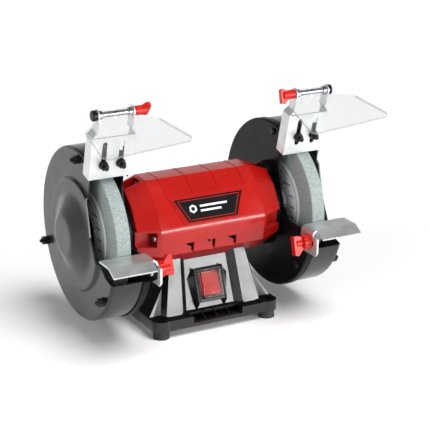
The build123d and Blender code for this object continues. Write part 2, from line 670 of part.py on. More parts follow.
def cover_screws():
    """Three long screws that draw the cover to the inner guard."""
    screws = []
    for angle in COVER_SCREW_ANGLES:
        y, z = around(COVER_SCREW_CIRCLE, angle)
        head = bar_x(4.0, GUARD_PLATE - 2.6, GUARD_PLATE, y, z)
        head = fillet(head.edges().filter_by(GeomType.CIRCLE).sort_by(Axis.X)[0], 1.2)
        shank = bar_x(SCREW_RADIUS, GUARD_PLATE, COVER_FACE + 10, y, z)
        screws.append(head + chamfer(shank.edges().filter_by(GeomType.CIRCLE).sort_by(Axis.X)[-1], 0.8))
    return group(screws)


def cover_nuts():
    nuts = []
    for angle in COVER_SCREW_ANGLES:
        y, z = around(COVER_SCREW_CIRCLE, angle)
        nut = hex_x(8, COVER_FACE + 1, COVER_FACE + 7, y, z) + bar_x(5, COVER_FACE, COVER_FACE + 1, y, z)
        nuts.append(nut - bar_x(SCREW_RADIUS, COVER_FACE - 1, COVER_FACE + 8, y, z))
    return group(nuts)


def guard_screws():
    """Four screws that hold the inner guard to the end shield's lobes."""
    screws = []
    face = GUARD_PLATE + SHEET
    for angle in LOBE_ANGLES:
        y, z = around(LOBE_CIRCLE, angle)
        head = bar_x(4.2, face, face + 2.6, y, z)
        head = fillet(head.edges().filter_by(GeomType.CIRCLE).sort_by(Axis.X)[-1], 1.2)
        screws.append(head - cross_recess(face + 2.6, y, z) + bar_x(SCREW_RADIUS, CAP_END + 2, face, y, z))
    return group(screws)


# ---------------------------------------------------------------- spark bracket and eye shield
def spark_bracket():
    """Channel of zinc-plated sheet with two slots and two ears for the hinge rod."""
    half = (BRACKET_OUTER - BRACKET_INNER) / 2
    face = block((-half, 0, -SHEET), (half, BRACKET_HEIGHT, 0))
    for x in (-SLOT_SPACING / 2, SLOT_SPACING / 2):
        slot = Pos(x, SLOT_BOTTOM + SLOT_LENGTH / 2, -SHEET - 1) * extrude(
            SlotOverall(SLOT_LENGTH, SLOT_WIDTH, rotation=90), SHEET + 2)
        face -= slot
    side = bracket_side(half)
    return face + side + mirror(side, about=Plane.YZ)


def bracket_side(half):
    """Right side flange with its ear, which steps inwards, in the bracket's own frame."""
    top = ROD_UP + EAR_RADIUS + 1
    bend = [(half, 0), (half, BRACKET_HEIGHT), (half - EAR_INSET, BRACKET_HEIGHT + EAR_STEP),
            (half - EAR_INSET, top)]
    sheet = bend + [(x - SHEET, u) for x, u in reversed(bend)]
    sheet = make_face(Polyline(*[(x, u, -BRACKET_DEPTH) for x, u in sheet], close=True))
    sheet = extrude(sheet, BRACKET_DEPTH + EAR_RADIUS, dir=(0, 0, 1))
    outline = [(0, 0), (0, -BRACKET_DEPTH), (BRACKET_HEIGHT - 3, -BRACKET_DEPTH),
               (ROD_UP - 14, -ROD_BACK - EAR_RADIUS), (ROD_UP, -ROD_BACK - EAR_RADIUS),
               (ROD_UP, -ROD_BACK + EAR_RADIUS), (BRACKET_HEIGHT, 0)]
    start = half - EAR_INSET - SHEET - 1
    side = extrude(make_face(Polyline(*[(start, u, w) for u, w in outline], close=True)),
                   EAR_INSET + SHEET + 2, dir=(1, 0, 0))
    across = Pos(half, ROD_UP, -ROD_BACK) * Rot(0, 90, 0)
    side += across * Cylinder(EAR_RADIUS, 2 * (EAR_INSET + SHEET + 1))
    return (side & sheet) - across * Cylinder(ROD_RADIUS, 4 * EAR_INSET)


def bracket_bolts():
    """Two bolts of a right bracket, with washer and nut."""
    bolts = []
    for x in (-SLOT_SPACING / 2, SLOT_SPACING / 2):
        at = Pos(x, BOLT_UP, 0)
        washer = SLIDE_GAP
        bolt = at * Pos(0, 0, washer + 0.5) * Cylinder(5.0, 1.0)
        bolt += at * Pos(0, 0, washer + 1) * extrude(RegularPolygon(4, 6, major_radius=False), 4)
        bolt += at * Pos(0, 0, (washer + 9 - TAB_BACK) / 2) * Cylinder(2.4, washer + 9 + TAB_BACK)
        bolt += at * Pos(0, 0, -TAB_BACK - 3) * extrude(RegularPolygon(4, 6, major_radius=False), 3)
        bolts.append(bolt)
    return bracket_plane() * group(bolts)


def rod_place(raised=0.0):
    """(y, z) of the hinge rod."""
    point = (bracket_plane(raised) * Pos(0, ROD_UP, -ROD_BACK)).position
    return point.Y, point.Z


def hinge_rod(raised=0.0):
    """Rod through the bracket's ears, headed at its outer end."""
    y, z = rod_place(raised)
    tail = EAR_INNER - SHIELD_KNOB_LENGTH + 4
    head = hex_x(9.5, EAR_OUTER, EAR_OUTER + ROD_HEAD, y, z)
    return bar_x(ROD_RADIUS, tail, EAR_OUTER, y, z) + head


def rod_collars(raised=0.0):
    """Spacer sleeves between the ears and the shield's barrels."""
    y, z = rod_place(raised)
    sleeves = []
    for start in (EAR_INNER + SHEET, EAR_OUTER - SHEET - COLLAR):
        sleeve = bar_x(BARREL_RADIUS, start, start + COLLAR, y, z)
        sleeves.append(sleeve - bar_x(ROD_RADIUS, start - 1, start + COLLAR + 1, y, z))
    return group(sleeves)


def eye_shield(side=1, raised=0.0):
    """Clear shield with two barrels round the rod. Both sides' shields have the same shape."""
    y, z = rod_place(raised)
    tilt = radians(SHIELD_TILT)
    plane = Plane(origin=(side * BRACKET_MIDDLE, y, z), x_dir=(1, 0, 0), z_dir=(0, -sin(tilt), cos(tilt)))
    outline = make_face(Polyline(*[(x + side * SHIELD_SHIFT, -s) for x, s in SHIELD_OUTLINE], close=True))
    outline = fillet(outline.vertices(), 3.5)
    shield = Pos(0, 0, -SHIELD_THICK - 0.5) * extrude(outline, SHIELD_THICK)
    inner_end = (EAR_OUTER - EAR_INNER) / 2 - SHEET - COLLAR - SLIDE_GAP
    for low, high in ((-inner_end, -BARREL_GAP / 2), (BARREL_GAP / 2, inner_end)):
        web = block((low, -10, -SHIELD_THICK - 0.5), (high, 0, -0.5))
        barrel = Pos((low + high) / 2, 0, 0) * Rot(0, 90, 0) * Cylinder(BARREL_RADIUS, high - low)
        shield += web + barrel
    shield -= Rot(0, 90, 0) * Cylinder(ROD_RADIUS + TURN_GAP, 3 * inner_end)
    shield -= block((-inner_end - 5, -4.9, -6), (-inner_end, 6, 6)) + block(
        (inner_end, -4.9, -6), (inner_end + 5, 6, 6))
    shield -= block((-BARREL_GAP / 2, -4.9, -6), (BARREL_GAP / 2, 6, 6))
    ear_low = inner_end + SLIDE_GAP + COLLAR - EAR_NOTCH_GAP
    ear_high = ear_low + SHEET + 2 * EAR_NOTCH_GAP
    for low, high in ((ear_low, ear_high), (-ear_high, -ear_low)):
        shield -= block((low, -EAR_NOTCH, -6), (high, 6, 6))
    return plane * shield


# ---------------------------------------------------------------- tool rest
def tool_rest():
    """Bent sheet rest: top plate, sloped front lip, bend and slotted flap."""
    top = AXLE_HEIGHT - REST_DROP
    lip = radians(LIP_ANGLE)
    bend_y = REST_BACK - REST_DEPTH
    lip_y = bend_y - LIP_LENGTH * cos(lip)
    lip_z = top - LIP_LENGTH * sin(lip)
    bend_x = FLAP_FACE - REST_THICK + REST_BEND
    profile = [(REST_BACK, top), (bend_y, top), (lip_y, lip_z),
               (lip_y + REST_THICK * sin(lip), lip_z - REST_THICK * cos(lip)),
               (bend_y + REST_THICK * tan(lip / 2), top - REST_THICK), (REST_BACK, top - REST_THICK)]
    plate = prism_x(profile, bend_x, REST_OUTER)
    front = REST_BOLT_Y - 17
    corner = Pos(bend_x, (REST_BACK + bend_y) / 2, top - REST_BEND) * Rot(90, 0, 0)
    ring = corner * (Cylinder(REST_BEND, REST_DEPTH) - Cylinder(REST_BEND - REST_THICK, REST_DEPTH + 1))
    ring &= block((bend_x - REST_BEND, bend_y, top - REST_BEND), (bend_x, REST_BACK, top))
    flap = prism_x([(REST_BACK, top - REST_BEND), (REST_BACK, top - 15), (REST_BACK - 9, top - FLAP_DROP),
                    (front + 4, top - FLAP_DROP), (front, top - FLAP_DROP + 4), (front, top - REST_BEND - 1),
                    (bend_y, top - REST_BEND)],
                   FLAP_FACE - REST_THICK, FLAP_FACE)
    slot_z = AXLE_HEIGHT - REST_BOLT_DROP
    middle = REST_BOLT_Y + 0.8
    slot = block((FLAP_FACE - REST_THICK - 1, middle - REST_SLOT_LENGTH / 2, slot_z - REST_SLOT_WIDTH / 2),
                 (FLAP_FACE + 1, middle + REST_SLOT_LENGTH / 2, slot_z + REST_SLOT_WIDTH / 2))
    slot = fillet(slot.edges().filter_by(Axis.X), REST_SLOT_WIDTH / 2 - 0.01)
    return plate + ring + flap - slot


def rest_bolt():
    """Round-headed bolt in the guard's ear, which carries the tool rest and its knob."""
    z = AXLE_HEIGHT - REST_BOLT_DROP
    face = GUARD_PLATE + SHEET
    head = bar_x(6.0, face, face + 2.8, REST_BOLT_Y, z)
    head = fillet(head.edges().filter_by(GeomType.CIRCLE).sort_by(Axis.X)[-1], 2.2)
    tail = FLAP_FACE - REST_THICK - REST_KNOB_LENGTH + 4
    return head + bar_x(REST_BOLT_RADIUS, tail, face, REST_BOLT_Y, z)


# ---------------------------------------------------------------- clamp knobs
def clamp_knob(rod_radius, hub_radius, hub_length, length, wing_reach, wing_thick):
    """Wing knob along X: its hub's end is at the origin, and its wing points towards the motor."""
    tip = -length
    hub = bar_x(hub_radius, -hub_length, 0, 0, 0)
    for index in range(8):
        angle = radians(index * 45 + 22.5)
        reach = hub_radius + 1.2
        hub -= bar_x(1.9, -hub_length - 1, -1.5, reach * sin(angle), reach * cos(angle))
    high, low = wing_reach
    wing = make_face(Polyline(
        (-4, 0, -hub_radius * 0.7), (-hub_length, 0, -hub_radius * 0.75), (tip + 3, 0, -low),
        (tip, 0, 1 - low), (tip, 0, high - 1), (tip + 4, 0, high), (-hub_length - 1, 0, hub_radius * 0.85),
        (-4, 0, hub_radius * 0.7), close=True))
    wing = Pos(0, wing_thick / 2, 0) * extrude(wing, wing_thick, dir=(0, -1, 0))
    knob = hub + bar_x(rod_radius + 2.0, tip + 3, -2, 0, 0) + wing
    return knob - bar_x(rod_radius + TURN_GAP, tip + 3.5, 1, 0, 0)


def shield_knob(raised=0.0, turn=180.0):
    y, z = rod_place(raised)
    knob = clamp_knob(ROD_RADIUS, SHIELD_KNOB_RADIUS, SHIELD_KNOB_HUB, SHIELD_KNOB_LENGTH, SHIELD_WING,
                      SHIELD_WING_THICK)
    return Pos(EAR_INNER - SLIDE_GAP, y, z) * knob.rotate(Axis.X, turn)


def rest_knob(turn=180.0):
    knob = clamp_knob(REST_BOLT_RADIUS, REST_KNOB_RADIUS, REST_KNOB_HUB, REST_KNOB_LENGTH, REST_WING,
                      REST_WING_THICK)
    place = (FLAP_FACE - REST_THICK - SLIDE_GAP, REST_BOLT_Y, AXLE_HEIGHT - REST_BOLT_DROP)
    return Pos(*place) * knob.rotate(Axis.X, turn)


# ---------------------------------------------------------------- base
def body_half(z, inset=0.0):
    """Half sizes of the base's sloping body at height z."""
    top = AXLE_HEIGHT - BODY_TOP_DROP
    share = (z - FLANGE_TOP) / (top - FLANGE_TOP)
    half_x = BODY_FOOT_X + (BODY_TOP_X - BODY_FOOT_X) * share - inset
    half_y = BODY_FOOT_Y + (BODY_TOP_Y - BODY_FOOT_Y) * share - inset
    return half_x, half_y


def body_frustum(z_low, z_high, inset=0.0):
    faces = []
    for z in (z_low, z_high):
        half_x, half_y = body_half(z, inset)
        faces.append(Pos(0, 0, z) * Rectangle(2 * half_x, 2 * half_y))
    return loft(faces, ruled=True)


def panel_outline(z, inset=0.0):
    """Plan of the right front raised panel at height z."""
    half_y = body_half(z)[1]
    share = (z - FLANGE_TOP) / (AXLE_HEIGHT - BODY_TOP_DROP - FLANGE_TOP)
    inner = 29.3 - 4.0 * share + inset
    outer = 61.3 - 11.0 * share - inset
    front = -half_y - PANEL_PROUD + inset
    back = -half_y + 8
    points = [(inner, back), (inner, -half_y + inset), (inner + PANEL_PROUD + 0.5, front),
              (outer - 4, front), (outer, -half_y + inset), (outer, back)]
    return make_face(Polyline(*[(x, y, z) for x, y in points], close=True))


def raised_panel(z_low, z_high, inset=0.0):
    return loft([panel_outline(z_low, inset), panel_outline(z_high, inset)], ruled=True)


def four_ways(piece):
    """A piece of the right front quarter, in all four quarters."""
    front = piece + left(piece)
    return front + mirror(front, about=Plane.XZ)


def switch_plane():
    """Middle of the switch's front: y up its face, z to the front."""
    lean = radians(SWITCH_LEAN)
    return Plane(origin=(0, -SWITCH_FORWARD, SWITCH_UP), x_dir=(1, 0, 0), z_dir=(0, -cos(lean), sin(lean)))


def switch_cheek():
    """Right fin beside the switch: broad near the top, running out at the flange."""
    half = SWITCH_WIDTH / 2 + 0.4
    deep = 24
    upper, lower = SWITCH_HEIGHT / 2, -SWITCH_HEIGHT / 2
    at = switch_plane()
    front = at * make_face(Polyline((half, lower), (half + 1.2, lower), (half + 1.4, upper - 6),
                                    (half + 1.2, upper + 1), (half, upper + 1), close=True))
    behind = at * Pos(0, 0, -deep) * make_face(Polyline(
        (half, lower - 16), (half + 3, lower - 16), (half + 27, upper - 14), (half + 7, upper),
        (half, upper), close=True))
    return loft([front, behind], ruled=True)


def base_housing():
    """Black base: flange, sloping hollow body, raised panels, corner bosses and switch surround."""
    rim_top = AXLE_HEIGHT - BODY_TOP_DROP + 4
    body = body_frustum(FLANGE_TOP - 2, rim_top)
    body += four_ways(raised_panel(FLANGE_TOP - 1, rim_top))
    flange = Pos(0, 0, (FLANGE_TOP + FLANGE_BOTTOM) / 2) * Box(
        2 * FLANGE_HALF_X, 2 * FLANGE_HALF_Y, FLANGE_TOP - FLANGE_BOTTOM)
    flange = fillet(flange.edges().filter_by(Axis.Z), BOSS_RADIUS - 0.2)
    under = Pos(0, 0, FLANGE_BOTTOM + (FLANGE_TOP - FLANGE_BOTTOM - BASE_WALL) / 2) * Box(
        2 * (FLANGE_HALF_X - BASE_WALL), 2 * (FLANGE_HALF_Y - BASE_WALL), FLANGE_TOP - FLANGE_BOTTOM - BASE_WALL)
    base = body + flange - under
    saddle = AXLE_HEIGHT - MOTOR_DEPTH - 4
    base -= body_frustum(FLANGE_TOP - BASE_WALL - 1, saddle, BASE_WALL)
    base -= four_ways(raised_panel(FLANGE_TOP - BASE_WALL - 1, saddle - 6, BASE_WALL))
    base += switch_surround()
    base += four_ways(bar_z(BOSS_RADIUS, FLANGE_BOTTOM, FLANGE_TOP + 0.6, HOLE_X, -HOLE_Y))
    base += four_ways(bar_z(4.5, FLANGE_BOTTOM + PLATE, FLANGE_TOP - 1, PLATE_SCREW_X, -PLATE_SCREW_Y))
    base += bar_y(GLAND_RADIUS + 5, gland_wall() - GLAND_SEAT_IN, gland_wall() + GLAND_SEAT_OUT, 0, GLAND_UP)
    base += block((-32, -FLANGE_HALF_Y, FLANGE_BOTTOM + PLATE), (32, -FLANGE_HALF_Y + 17, FLANGE_TOP))
    base -= base_holes()
    base -= four_cells()
    base -= motor_prism(-MOTOR_HALF - 30, MOTOR_HALF + 30)
    return base


def switch_surround():
    """Solid ground behind the switch frame, with the two cheeks."""
    half = SWITCH_WIDTH / 2 + 0.4
    ground = switch_plane() * block((-half, -SWITCH_HEIGHT / 2, -16), (half, SWITCH_HEIGHT / 2 + 0.4, -3))
    cheek = switch_cheek()
    surround = ground + cheek + left(cheek)
    keep = block((-60, -80, FLANGE_TOP - 1), (60, 0, AXLE_HEIGHT))
    room = body_frustum(FLANGE_TOP - 3, AXLE_HEIGHT - BODY_TOP_DROP + 2, BASE_WALL)
    return (surround & keep) - room


def base_holes():
    """Mounting holes, foot sockets, switch window, cable inlet, wire hole and screw holes."""
    cut = four_ways(bar_z(HOLE_RADIUS, 0, FLANGE_TOP + 2, HOLE_X, -HOLE_Y))
    cut += four_ways(bar_z(5.6, FLANGE_TOP - 2.4, FLANGE_TOP + 2, HOLE_X, -HOLE_Y))
    cut += four_ways(bar_z(FOOT_STUB, FLANGE_BOTTOM - 1, FLANGE_BOTTOM + 4, HOLE_X, -HOLE_Y))
    cut += four_ways(bar_z(1.5, FLANGE_BOTTOM, FLANGE_TOP - 3, PLATE_SCREW_X, -PLATE_SCREW_Y))
    for x in (-35, 35):
        cut += bar_z(4, FLANGE_TOP - 2.2, FLANGE_TOP + 2, x, -FLANGE_HALF_Y + 9)
    cut += switch_plane() * block((-SWITCH_BODY_X, -SWITCH_BODY_Y, -30), (SWITCH_BODY_X, SWITCH_BODY_Y, 1))
    cut += bar_y(GLAND_RADIUS, gland_wall() - 15, gland_wall() + 15, 0, GLAND_UP)
    saddle = AXLE_HEIGHT - MOTOR_DEPTH
    cut += bar_z(WIRE_HOLE, saddle - 6, saddle + 2)
    for x, y in BASE_SCREWS:
        cut += bar_z(SCREW_RADIUS, saddle - 6, saddle + 2, x, y)
    return cut


def gland_wall():
    """How far back the base's sloping wall is at the gland's height."""
    return body_half(GLAND_UP)[1]


def four_cells():
    """Row of pockets sunk in the sloping edge in the middle of the flange's front."""
    half = 30.0
    front = -FLANGE_HALF_Y
    slope = prism_x([(front - 1, FLANGE_TOP - 8.2), (front + 13, FLANGE_TOP), (front + 13, FLANGE_TOP + 2),
                     (front - 1, FLANGE_TOP + 2)], -half, half)
    pitch = 2 * half / 4
    for index in range(4):
        x = -half + pitch * index
        slope += prism_x([(front + 2, FLANGE_TOP - 9.4), (front + 12, FLANGE_TOP - 5), (front + 12, FLANGE_TOP + 1),
                          (front + 2, FLANGE_TOP + 1)], x + 0.8, x + pitch - 0.8)
    return slope


def base_plate():
    """Steel sheet that closes the underside."""
    clear = 0.4
    plate = block((-FLANGE_HALF_X + BASE_WALL + clear, -FLANGE_HALF_Y + BASE_WALL + clear, FLANGE_BOTTOM),
                  (FLANGE_HALF_X - BASE_WALL - clear, FLANGE_HALF_Y - BASE_WALL - clear, FLANGE_BOTTOM + PLATE))
    plate -= four_ways(bar_z(BOSS_RADIUS + clear, 0, 30, HOLE_X, -HOLE_Y))
    plate -= four_ways(bar_z(SCREW_RADIUS, 0, 30, PLATE_SCREW_X, -PLATE_SCREW_Y))
    for x in range(-30, 31, 12):
        plate -= block((x - 2, -15, 0), (x + 2, 15, 30))
    return plate


def plate_screws():
    screws = []
    for x in (-PLATE_SCREW_X, PLATE_SCREW_X):
        for y in (-PLATE_SCREW_Y, PLATE_SCREW_Y):
            head = bar_z(3.4, FLANGE_BOTTOM - 1.8, FLANGE_BOTTOM, x, y)
            screws.append(head + bar_z(1.5, FLANGE_BOTTOM, FLANGE_TOP - 3, x, y))
    return group(screws)


def rubber_feet():
    """Four feet, plugged into the corner bosses, each with a hole for a mounting bolt."""
    feet = []
    for x in (-HOLE_X, HOLE_X):
        for y in (-HOLE_Y, HOLE_Y):
            cone = Pos(x, y, FLANGE_BOTTOM / 2) * Cone(FOOT_RADIUS, FOOT_RADIUS - 0.9, FLANGE_BOTTOM)
            foot = cone + bar_z(FOOT_STUB, FLANGE_BOTTOM, FLANGE_BOTTOM + 4, x, y)
            feet.append(foot - bar_z(HOLE_RADIUS, -1, FLANGE_BOTTOM + 5, x, y))
    return group(feet)


def base_screws():
    """Four screws that hold the motor on the base's saddle."""
    saddle = AXLE_HEIGHT - MOTOR_DEPTH - 4
    screws = []
    for x, y in BASE_SCREWS:
        screws.append(bar_z(3.6, saddle - 2.5, saddle, x, y) + bar_z(SCREW_RADIUS, saddle, SADDLE_BOSS_TOP - 1, x, y))
    return group(screws)


# ---------------------------------------------------------------- switch and wiring
def switch_frame():
    """Frame and body of the switch, with its window for the rocker."""
    half_x, half_y = SWITCH_WIDTH / 2, SWITCH_HEIGHT / 2
    frame = block((-half_x, -half_y, -3), (half_x, half_y, 0))
    frame = fillet(frame.edges().filter_by(Axis.Z), 1.5)
    frame = chamfer(frame.faces().sort_by(Axis.Z)[-1].edges(), 0.8)
    body = block((-SWITCH_BODY_X, -SWITCH_BODY_Y, -26), (SWITCH_BODY_X, SWITCH_BODY_Y, -3))
    window = block((-half_x + FRAME_RIM, -half_y + FRAME_RIM, -1.2), (half_x - FRAME_RIM, half_y - FRAME_RIM, 1))
    well = block((-ROCKER_X - SLIDE_GAP, -ROCKER_Y - 1, -14), (ROCKER_X + SLIDE_GAP, ROCKER_Y + 1, 1))
    axle = Pos(0, 0, ROCKER_PIVOT) * Rot(0, 90, 0) * Cylinder(ROCKER_AXLE, 2 * SWITCH_BODY_X)
    return switch_plane() * (frame + body - window - well + axle)


def switch_rocker():
    """Rocker with two faces that meet at its middle, resting with its upper half pressed in."""
    tilt = tan(radians(ROCKER_TILT))
    crest = 4.0
    outline = [(-ROCKER_Y, -4), (-ROCKER_Y, crest - 0.4), (0, crest - ROCKER_Y * tilt), (ROCKER_Y, crest - 0.4),
               (ROCKER_Y, -4), (5, -7.5), (-5, -7.5)]
    face = make_face(Polyline(*[(-ROCKER_X, u, w) for u, w in outline], close=True))
    rocker = extrude(face, 2 * ROCKER_X, dir=(1, 0, 0))
    rocker -= Rot(0, 90, 0) * Cylinder(ROCKER_AXLE + TURN_GAP, 2 * ROCKER_X + 1)
    rocker = Rot(-ROCKER_TILT, 0, 0) * rocker
    return switch_plane() * Pos(0, 0, ROCKER_PIVOT) * rocker


def switch_cover():
    """Clear flexible cover over the rocker, seated in the frame's window."""
    half_x, half_y = SWITCH_WIDTH / 2 - FRAME_RIM - 0.1, SWITCH_HEIGHT / 2 - FRAME_RIM - 0.1
    outer = block((-half_x, -half_y, -1.2), (half_x, half_y, COVER_HIGH))
    outer = fillet(outer.edges().filter_by(Axis.Z) + outer.faces().sort_by(Axis.Z)[-1].edges(), 2.0)
    inner = block((-half_x + COVER_WALL, -half_y + COVER_WALL, -2), (half_x - COVER_WALL, half_y - COVER_WALL,
                                                                   COVER_HIGH - COVER_WALL))
    return switch_plane() * (outer - inner)


def switch_terminals():
    blades = []
    for x in (-6, 6):
        for y in (-9, 0, 9):
            blades.append(switch_plane() * block((x - 0.4, y - 3, -34), (x + 0.4, y + 3, -26)))
    return group(blades)


def run_capacitor():
    can = bar_x(CAPACITOR_RADIUS, -46, -46 + CAPACITOR_LENGTH, CAPACITOR_Y, CAPACITOR_Z)
    can = fillet(can.edges().filter_by(GeomType.CIRCLE), 1.5)
    for shift in (-4, 4):
        y = CAPACITOR_Y + shift
        can += block((-46 + CAPACITOR_LENGTH - 0.5, y - 2.5, CAPACITOR_Z - 0.4),
                     (-46 + CAPACITOR_LENGTH + 7, y + 2.5, CAPACITOR_Z + 0.4))
    return can


def capacitor_clip():
    """Strap that holds the capacitor to the base plate."""
    x_low, x_high = -28, -16
    y = CAPACITOR_Y
    strap = bar_x(CAPACITOR_RADIUS + 1, x_low, x_high, y, CAPACITOR_Z) - bar_x(
        CAPACITOR_RADIUS, x_low - 1, x_high + 1, y, CAPACITOR_Z)
    floor = FLANGE_BOTTOM + PLATE
    strap -= block((x_low - 1, y - 8, floor - 2), (x_high + 1, y + 8, CAPACITOR_Z))
    for side in (-1, 1):
        leg = block((x_low, y + side * 15.5 - 0.5, floor), (x_high, y + side * 15.5 + 0.5, CAPACITOR_Z))
        foot = block((x_low, min(y + side * 15, y + side * 22), floor), (x_high, max(y + side * 15, y + side * 22),
                                                                        floor + 1))
        strap += leg + foot
    return strap - bar_x(CAPACITOR_RADIUS, x_low - 1, x_high + 1, y, CAPACITOR_Z)


def terminal_block():
    """Screw terminal block on the base plate."""
    floor = FLANGE_BOTTOM + PLATE
    body = block((26, 4, floor), (50, 22, floor + 13))
    for index in range(3):
        x = 30 + index * 8
        body -= bar_z(2.4, floor + 6, floor + 14, x, 9)
        body -= bar_z(2.4, floor + 6, floor + 14, x, 17)
    return body


def cable_gland():
    """Flanged inlet in the base's back, where the mains lead enters."""
    inside = gland_wall() - GLAND_SEAT_IN
    outside = gland_wall() + GLAND_SEAT_OUT
    gland = bar_y(GLAND_RADIUS, inside - 3, outside + 4, 0, GLAND_UP)
    gland += bar_y(GLAND_RADIUS + 3.5, outside, outside + 4, 0, GLAND_UP)
    gland += bar_y(GLAND_RADIUS + 2.0, inside - 3, inside, 0, GLAND_UP)
    return gland - bar_y(GLAND_BORE, inside - 4, outside + 5, 0, GLAND_UP)


def internal_leads():
    """Wires between the terminal block, the switch, the capacitor and the motor."""
    top = AXLE_HEIGHT - MOTOR_DEPTH + SHELL_WALL
    routes = [
        [(30, 9, 23.6), (30, 9, 44), (8, 2, 56), (3, 0, top)],
        [(38, 9, 23.6), (38, 9, 40), (20, -8, 48), (-3, 0, 60), (-3, 0, top)],
    ]
    wires = []
    for points in routes:
        path = FilletPolyline(*points, radius=4.5)
        start = Plane(origin=points[0], z_dir=tuple(path % 0))
        wires.append(sweep(start * Circle(LEAD_RADIUS), path=path))
    return group(wires)


# ---------------------------------------------------------------- the whole machine
def pieces():
    """Every node and its solids."""
    nodes = {
        "base_housing": base_housing(),
        "base_plate": base_plate(),
        "base_plate_screws": plate_screws(),
        "base_motor_screws": base_screws(),
        "rubber_feet": rubber_feet(),
        "switch_frame": switch_frame(),
        "switch_rocker": switch_rocker(),
        "switch_cover": switch_cover(),
        "switch_terminals": switch_terminals(),
        "run_capacitor": run_capacitor(),
        "capacitor_clip": capacitor_clip(),
        "terminal_block": terminal_block(),
        "cable_gland": cable_gland(),
        "internal_leads": internal_leads(),
        "motor_shell": motor_shell(),
        "badge_plate": badge_plate(),
        "stator_core": stator_core(),
        "stator_windings": stator_windings(),
        "rotor_core": rotor_core(),
        "rotor_end_rings": rotor_rings(),
        "spindle": spindle(),
        "bearing_outer_rings": both(bearing_outer_ring()),
        "bearing_inner_rings": both(bearing_inner_ring()),
        "bearing_balls": both(bearing_balls()),
        "bearing_wave_washer": wave_washer(),
        "end_cap_screws": both(cap_screws()),
        "wheel_blotters": both(wheel_blotters()),
        "inner_flanges": both(inner_flange()),
        "outer_flanges": both(outer_flange()),
        "spindle_nuts": both(spindle_nut()),
    }
    for name, piece in {
        "end_cap": end_cap(),
        "end_shield": end_shield(),
        "grinding_wheel": grinding_wheel(),
        "inner_guard": inner_guard(),
        "guard_cover": guard_cover(),
        "tool_rest": tool_rest(),
    }.items():
        nodes[name + "_right"] = piece
        nodes[name + "_left"] = left(piece)
    for side, raised, sign, shield_turn, rest_turn in (("right", 0.0, 1, 170, 165), ("left", LEFT_RAISED, -1, 40, -20)):
        at = {1: lambda piece: piece, -1: left}[sign]
        bracket = bracket_plane(raised) * spark_bracket()
        nodes["spark_bracket_" + side] = at(bracket)
        nodes["hinge_rod_" + side] = at(hinge_rod(raised))
        nodes["rod_collars_" + side] = at(rod_collars(raised))
        nodes["eye_shield_" + side] = eye_shield(sign, raised)
        nodes["shield_knob_" + side] = at(shield_knob(raised, shield_turn))
        nodes["rest_knob_" + side] = at(rest_knob(rest_turn))
    nodes["cover_screws"] = both(cover_screws())
    nodes["cover_nuts"] = both(cover_nuts())
    nodes["guard_screws"] = both(guard_screws())
    nodes["bracket_bolts"] = both(bracket_bolts())
    nodes["rest_bolts"] = both(rest_bolt())
    return nodes


os.makedirs("parts", exist_ok=True)
for node, solid in pieces().items():
    export_step(solid, f"parts/{node}.step")
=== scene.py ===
import json
from math import cos, pi, radians, sin

import bpy
from mathutils import Matrix, Vector

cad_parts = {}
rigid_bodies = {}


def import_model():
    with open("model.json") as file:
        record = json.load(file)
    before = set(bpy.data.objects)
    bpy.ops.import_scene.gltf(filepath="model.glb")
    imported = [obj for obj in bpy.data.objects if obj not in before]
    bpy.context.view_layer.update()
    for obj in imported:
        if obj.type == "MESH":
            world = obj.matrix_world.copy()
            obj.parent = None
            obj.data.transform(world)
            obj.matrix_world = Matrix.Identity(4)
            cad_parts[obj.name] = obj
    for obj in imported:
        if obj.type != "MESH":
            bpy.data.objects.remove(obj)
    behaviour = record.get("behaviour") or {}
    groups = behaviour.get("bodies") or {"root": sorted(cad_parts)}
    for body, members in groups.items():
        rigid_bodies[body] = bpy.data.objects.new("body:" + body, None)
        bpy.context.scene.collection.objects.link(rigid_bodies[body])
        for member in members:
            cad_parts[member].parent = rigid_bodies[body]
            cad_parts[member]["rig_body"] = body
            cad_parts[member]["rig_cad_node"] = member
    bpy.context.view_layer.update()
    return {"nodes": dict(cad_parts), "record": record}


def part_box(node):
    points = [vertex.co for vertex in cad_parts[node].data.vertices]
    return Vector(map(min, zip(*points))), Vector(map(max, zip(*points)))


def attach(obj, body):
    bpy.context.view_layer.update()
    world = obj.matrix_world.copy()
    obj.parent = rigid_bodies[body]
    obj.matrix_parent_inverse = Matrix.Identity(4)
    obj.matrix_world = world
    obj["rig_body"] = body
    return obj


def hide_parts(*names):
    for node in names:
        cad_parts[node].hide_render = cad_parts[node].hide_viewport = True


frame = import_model()
nodes = frame["nodes"]

SIDES = ("left", "right")
AXLE = (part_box("spindle")[0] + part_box("spindle")[1]) / 2

SMOOTH_ANGLE = 32          # degrees: faces that meet at less than this shade as one surface
FLAT_SMOOTH_ANGLE = 12
EASED_ANGLE = 28           # degrees: sharper edges are eased
MERGE_DISTANCE, FLAT_ANGLE = 0.00001, 0.5     # corners this close, and faces this level, become one
CAP_RADIUS, CAP_LENGTH, CAP_EDGE = 0.0056, 0.0052, 0.0012
ROD_HEAD_LENGTH = 0.003    # the hinge rod's head, which the cap covers
CAP_CLEARANCE = 0.0001
CLEAR_HINGE = 0.022        # how far from its back edge a clear sheet keeps its plain material
EDGE_FACING = 0.6          # cosine to the sheet's face, under which a face counts as its edge


# ---------------------------------------------------------------- working with pieces
def only(piece):
    """Selects one piece and nothing else."""
    bpy.ops.object.select_all(action="DESELECT")
    piece.select_set(True)
    bpy.context.view_layer.objects.active = piece


def body_of(node):
    """The body that a CAD node belongs to."""
    return nodes[node]["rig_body"]


def slot_of(node):
    """The material slot that the record gives a CAD node."""
    for part in frame["record"]["subparts"]:
        if part["node"] == node:
            return part["material_slot"]


def dress(piece, material):
    """Gives a piece one material."""
    if not piece.material_slots:
        piece.data.materials.append(material)
    for slot in piece.material_slots:
        slot.material = material


